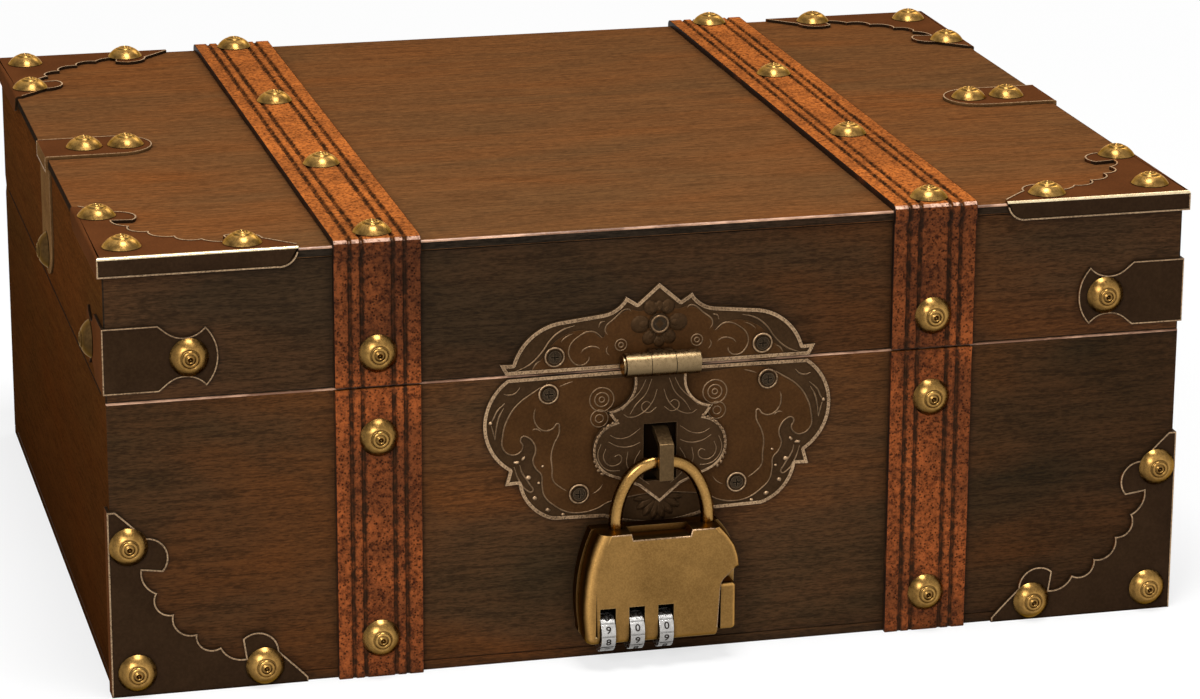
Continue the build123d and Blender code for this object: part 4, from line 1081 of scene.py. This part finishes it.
beadHigh = 0.55
drops = []
for x, z, long, wide, turn in ((-42.2, 61.9, 1.0, 0.5, 0.0), (-40.2, 63.0, 0.8, 0.45, 0.9),
                               (-38.7, 57.0, 0.85, 0.7, 0.0), (-36.8, 50.6, 0.75, 0.65, 0.0),
                               (-32.9, 46.7, 0.85, 0.6, -0.3), (-28.4, 45.0, 0.65, 0.5, 0.2),
                               (-49.9, 74.3, 0.6, 0.55, 0.0), (-34.5, 60.2, 0.5, 0.4, 0.5),
                               (-35.6, 55.2, 0.5, 0.4, 0.2)):
    drops += [bead(sign * x, z, plate, long, wide, beadHigh, sign * turn) for sign in (1, -1)]
joined(drops, "base_plate_beads", "base", "latch", edgeMetal)


def alongLine(points, gap):  # places and directions at even gaps along a line
    places = []
    left = 0.0
    for a, b in zip(points, points[1:]):
        start, stop = Vector(a), Vector(b)
        length = (stop - start).length
        while left < length:
            spot = start.lerp(stop, left / length)
            places.append((spot.x, spot.y, math.atan2(stop.y - start.y, stop.x - start.x)))
            left += gap
        left -= length
    return places


ropeSizes = {"gap": 1.5, "long": 0.62, "wide": 0.42, "high": 0.35, "slant": 0.5, "proud": 0.1 * mm}
rope = []
for points in both([ropeLine]):
    for x, z, turn in alongLine(points, ropeSizes["gap"]):
        rope.append(bead(x, z, flap + ropeSizes["proud"], ropeSizes["long"], ropeSizes["wide"],
                         ropeSizes["high"], turn + ropeSizes["slant"]))
joined(rope, "flap_rope_edge", "hasp", "latch", scrollMetal)
print("latch done")


# Padlock: front shell with a broad round along its left and lower sides, cut for the dials and the shackle
lockSizes = {"back": 131.1 * mm, "front": 138.0 * mm, "round": 3.4 * mm, "rightRound": 1.5 * mm,
             "topRound": 0.35 * mm, "notchRound": 0.3 * mm, "near": 0.01 * mm}
lockMarks = {"left": -20, "foot": 7.6, "shoulder": 39, "top": 41.4, "right": 15.5, "notch": 28,
             "cutLeft": 14.9, "cutTop": 29, "short": 0.2}  # millimetres, to tell the front's edges apart
slotCut = {"y": -134.5 * mm, "z": 11.2 * mm, "size": (4.7 * mm, 19 * mm, 16 * mm)}
holeCut = {"left": -14.0 * mm, "right": 13.6 * mm, "z": 40 * mm, "radius": 2.12 * mm, "depth": 8 * mm}
lockOutline = [
    (-10.7, 41.5), (-10.25, 39.6), (6.9, 39.6), (7.4, 41.5), (16.0, 41.5), (18.3, 38.9), (20.4, 35.7),
    (21.5, 32.4), (22.0, 28.9), (20.0, 28.2), (18.1, 26.5), (16.9, 25.4), (16.3, 24.2), (16.0, 22.5),
    (15.0, 7.5), (-22.1, 7.5), (-23.5, 8.1), (-24.2, 9.5), (-24.4, 11.6), (-24.9, 16.0), (-24.95, 20.5),
    (-24.6, 25.0), (-23.9, 30.0), (-22.9, 34.5), (-21.7, 38.2), (-20.2, 41.5),
]
dialNames = ("left", "middle", "right")
dialPlaces = {name: sum(corner.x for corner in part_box("padlock_dial_" + name)) / 2 for name in dialNames}


def frontShell():
    startClean()
    bpy.ops.mesh.primitive_circle_add(vertices=len(lockOutline), radius=1, fill_type="NGON")
    piece = bpy.context.object
    for vertex, (x, z) in zip(piece.data.vertices, lockOutline):
        vertex.co = (x * mm, -lockSizes["back"], z * mm)
    editAll(piece)
    depth = lockSizes["front"] - lockSizes["back"]
    bpy.ops.mesh.extrude_region_move(TRANSFORM_OT_translate={"value": (0, -depth, 0)})
    mergeAll(piece)
    setMaterials(piece, lockMetal, edgeMetal)

    def pickFront(wanted):  # by the lower and higher ends of the front face's edges, in millimetres
        def test(a, b):
            (lowX, highX), (lowZ, highZ) = sorted((a.x / mm, b.x / mm)), sorted((a.z / mm, b.z / mm))
            inFront = max(a.y, b.y) < lockSizes["near"] - lockSizes["front"]
            return inFront and wanted(lowX, highX, lowZ, highZ)
        pickEdges(piece, test)
    marks = lockMarks
    pickFront(lambda lowX, highX, lowZ, highZ: (highX < marks["left"] or highZ < marks["foot"])
              and lowZ < marks["top"])
    bevelPicked(lockSizes["round"], 7)
    pickFront(lambda lowX, highX, lowZ, highZ: lowX > marks["right"] and marks["notch"] < lowZ < marks["top"])
    bevelPicked(lockSizes["rightRound"], 4)
    # painted highlight: the top edges and the notch's edges are rounded in the bright edge metal
    pickFront(lambda lowX, highX, lowZ, highZ: lowZ > marks["shoulder"] and highX - lowX > marks["short"])
    bevelPicked(lockSizes["topRound"], 2, 1)
    pickFront(lambda lowX, highX, lowZ, highZ: lowX > marks["cutLeft"] and highZ < marks["cutTop"])
    bevelPicked(lockSizes["notchRound"], 2, 1)
    cutters = []
    for x in dialPlaces.values():
        startClean()
        bpy.ops.mesh.primitive_cube_add(size=1, location=(x, slotCut["y"], slotCut["z"]),
                                        scale=slotCut["size"])
        cutters.append(bpy.context.object)
    for x in (holeCut["left"], holeCut["right"]):
        startClean()
        bpy.ops.mesh.primitive_cylinder_add(vertices=32, radius=holeCut["radius"], depth=holeCut["depth"],
                                            location=(x, -lockSizes["back"], holeCut["z"]))
        cutters.append(bpy.context.object)
    for cutter in cutters:
        shape(piece, "BOOLEAN", operation="DIFFERENCE", object=cutter, solver="MANIFOLD")
        bpy.data.objects.remove(cutter)
    smooth(piece, 40)
    settleFor(piece, "padlock_front_shell", "padlock", "padlock_front_metal")


frontShell()
easedNodes = [  # node, slot, material, edge in millimetres, and a name where it isn't the node's
    ("staple", "latch", stapleMetal, 0.4), ("latch_pin", "barrel", barrelMetal, 0.1),
    ("padlock_rear_shell", "padlock", lockMetal, 0.12, "padlock_rear_metal"),
    ("padlock_shackle", "shackle", shackleMetal, 0.1),
    ("padlock_release_slide", "padlock", lockMetal, 0.1, "padlock_slide_metal"),
] + [("padlock_dial_" + name, "dial", dialMetal, 0.08) for name in dialNames]
for node, slotName, material, width, *name in easedNodes:
    piece = copyOf(node)
    setMaterials(piece, material)
    ease(piece, width * mm, 60 if node == "padlock_shackle" else 40)
    settleFor(piece, node, slotName, *name)


# Numbers round the dials, dark and almost level with their surface
digitSizes = {"height": 3.0 * mm, "radius": 6.1 * mm, "level": 6.07 * mm, "axisY": -133.2 * mm,
              "axisZ": 11.0 * mm, "bolder": 0.05 * mm, "thick": 0.12 * mm, "stretch": 1.1, "first": 18,
              "pitch": 36}
firstDigit = {"left": 9, "middle": 0, "right": 0}


def dialDigit(place, number):
    data = bpy.data.curves.new("digit", "FONT")
    data.body = str((firstDigit[place] - number) % 10)
    data.size = digitSizes["height"]
    data.align_x = data.align_y = "CENTER"
    data.offset = digitSizes["bolder"]
    data.resolution_u = 3
    digit = asMesh(putInScene("digit", data))
    shape(digit, "SOLIDIFY", thickness=digitSizes["thick"], offset=0.0)
    middle = math.radians(digitSizes["first"] - digitSizes["pitch"] * number)
    for vertex in digit.data.vertices:
        angle = middle + vertex.co.y / digitSizes["radius"]
        radius = digitSizes["level"] + vertex.co.z
        vertex.co = (dialPlaces[place] + vertex.co.x * digitSizes["stretch"],
                     digitSizes["axisY"] - radius * math.cos(angle),
                     digitSizes["axisZ"] + radius * math.sin(angle))
    return digit


for place in dialNames:
    digits = [dialDigit(place, number) for number in range(10)]
    joined(digits, "dial_" + place + "_digits", "dial_" + place, "dial", inkMaterial)
for node, piece in cadNodes.items():
    if not piece.hide_render and "back_board" not in node:
        piece.data.materials.clear()
        setMaterials(piece, barrelMetal if "hinge" in node else screwMetal)
print("metal done")


# Floor, background, light and camera
floorSizes = {"size": 12, "grey": 0.9, "near": 0.35, "far": 1.1, "nearWhite": 0.72}
worldLight = 0.38
lampTable = {  # place, aim, size, watts
    "keyLamp": ((-0.75, -1.2, 0.9), (-0.05, 0, 0.05), 0.6, 12.0),
    "topLamp": ((0.0, -0.25, 1.2), (0, -0.05, 0.1), 0.4, 11.0),
    "rimLamp": ((0.9, 0.9, 1.1), (0, 0, 0.1), 0.5, 4.0),
}
cameraSetting = {"place": (-0.3002, -1.2497, 0.4481), "azimuth": -14.12, "elevation": 16.98, "roll": 0.24,
                 "lens": 126.5, "sensor": 36.0, "near": 0.05, "far": 30}


def seenDirectly(tree, *kinds):  # 1 for the camera's own rays and those of the given kinds
    path = tree.nodes.new("ShaderNodeLightPath").outputs
    seen = path["Is Camera Ray"]
    for kind in kinds:
        seen = mathNode(tree, "MAXIMUM", seen, path["Is " + kind + " Ray"])
    return seen


def makeFloor():
    startClean()
    bpy.ops.mesh.primitive_plane_add(size=floorSizes["size"])
    floor = bpy.context.object
    floor.name = "floor"
    material, tree, shader, where = newMaterial("paleFloor", 0.8)
    shader.inputs["Base Color"].default_value = (*[floorSizes["grey"]] * 3, 1)
    white = addNode(tree, "ShaderNodeEmission", {"Color": (1, 1, 1, 1), "Strength": 1.0})
    away = addNode(tree, "ShaderNodeVectorMath", {0: where}, operation="LENGTH").outputs["Value"]
    whiter = rangeNode(tree, away, floorSizes["near"], floorSizes["far"], floorSizes["nearWhite"], 1.0)
    share = mathNode(tree, "MULTIPLY", seenDirectly(tree, "Glossy"), whiter)
    mixed = addNode(tree, "ShaderNodeMixShader", {0: share, 1: shader.outputs[0], 2: white.outputs[0]})
    tree.links.new(mixed.outputs[0], tree.nodes["Material Output"].inputs["Surface"])
    setMaterials(floor, material)


def makeWorld():
    world = bpy.data.worlds.new("studio")
    bpy.context.scene.world = world
    world.use_nodes = True
    tree = world.node_tree
    ground = tree.nodes["Background"].inputs
    strength = rangeNode(tree, seenDirectly(tree, "Glossy", "Transmission"), 0.0, 1.0, worldLight, 1.0)
    tree.links.new(strength, ground["Strength"])
    ground["Color"].default_value = (1, 1, 1, 1)


def makeLamps():
    for name, (place, target, size, watts) in lampTable.items():
        lamp = bpy.data.lights.new(name, "AREA")
        lamp.size = size
        lamp.energy = watts
        aim = Vector(target) - Vector(place)
        turn = aim.to_track_quat("-Z", "Y").to_matrix().to_4x4()
        putInScene(name, lamp).matrix_world = Matrix.Translation(place) @ turn


def makeCamera():
    data = bpy.data.cameras.new("camera")
    data.lens = cameraSetting["lens"]
    data.sensor_width = cameraSetting["sensor"]
    data.clip_start = cameraSetting["near"]
    data.clip_end = cameraSetting["far"]
    camera = putInScene("camera", data)
    turn = (Matrix.Rotation(math.radians(cameraSetting["azimuth"]), 4, "Z")
            @ Matrix.Rotation(math.radians(90 - cameraSetting["elevation"]), 4, "X")
            @ Matrix.Rotation(math.radians(cameraSetting["roll"]), 4, "Z"))
    camera.matrix_world = Matrix.Translation(cameraSetting["place"]) @ turn
    bpy.context.scene.camera = camera


makeFloor()
makeWorld()
makeLamps()
makeCamera()
bpy.context.scene.view_settings.view_transform = "Standard"
print("scene done")
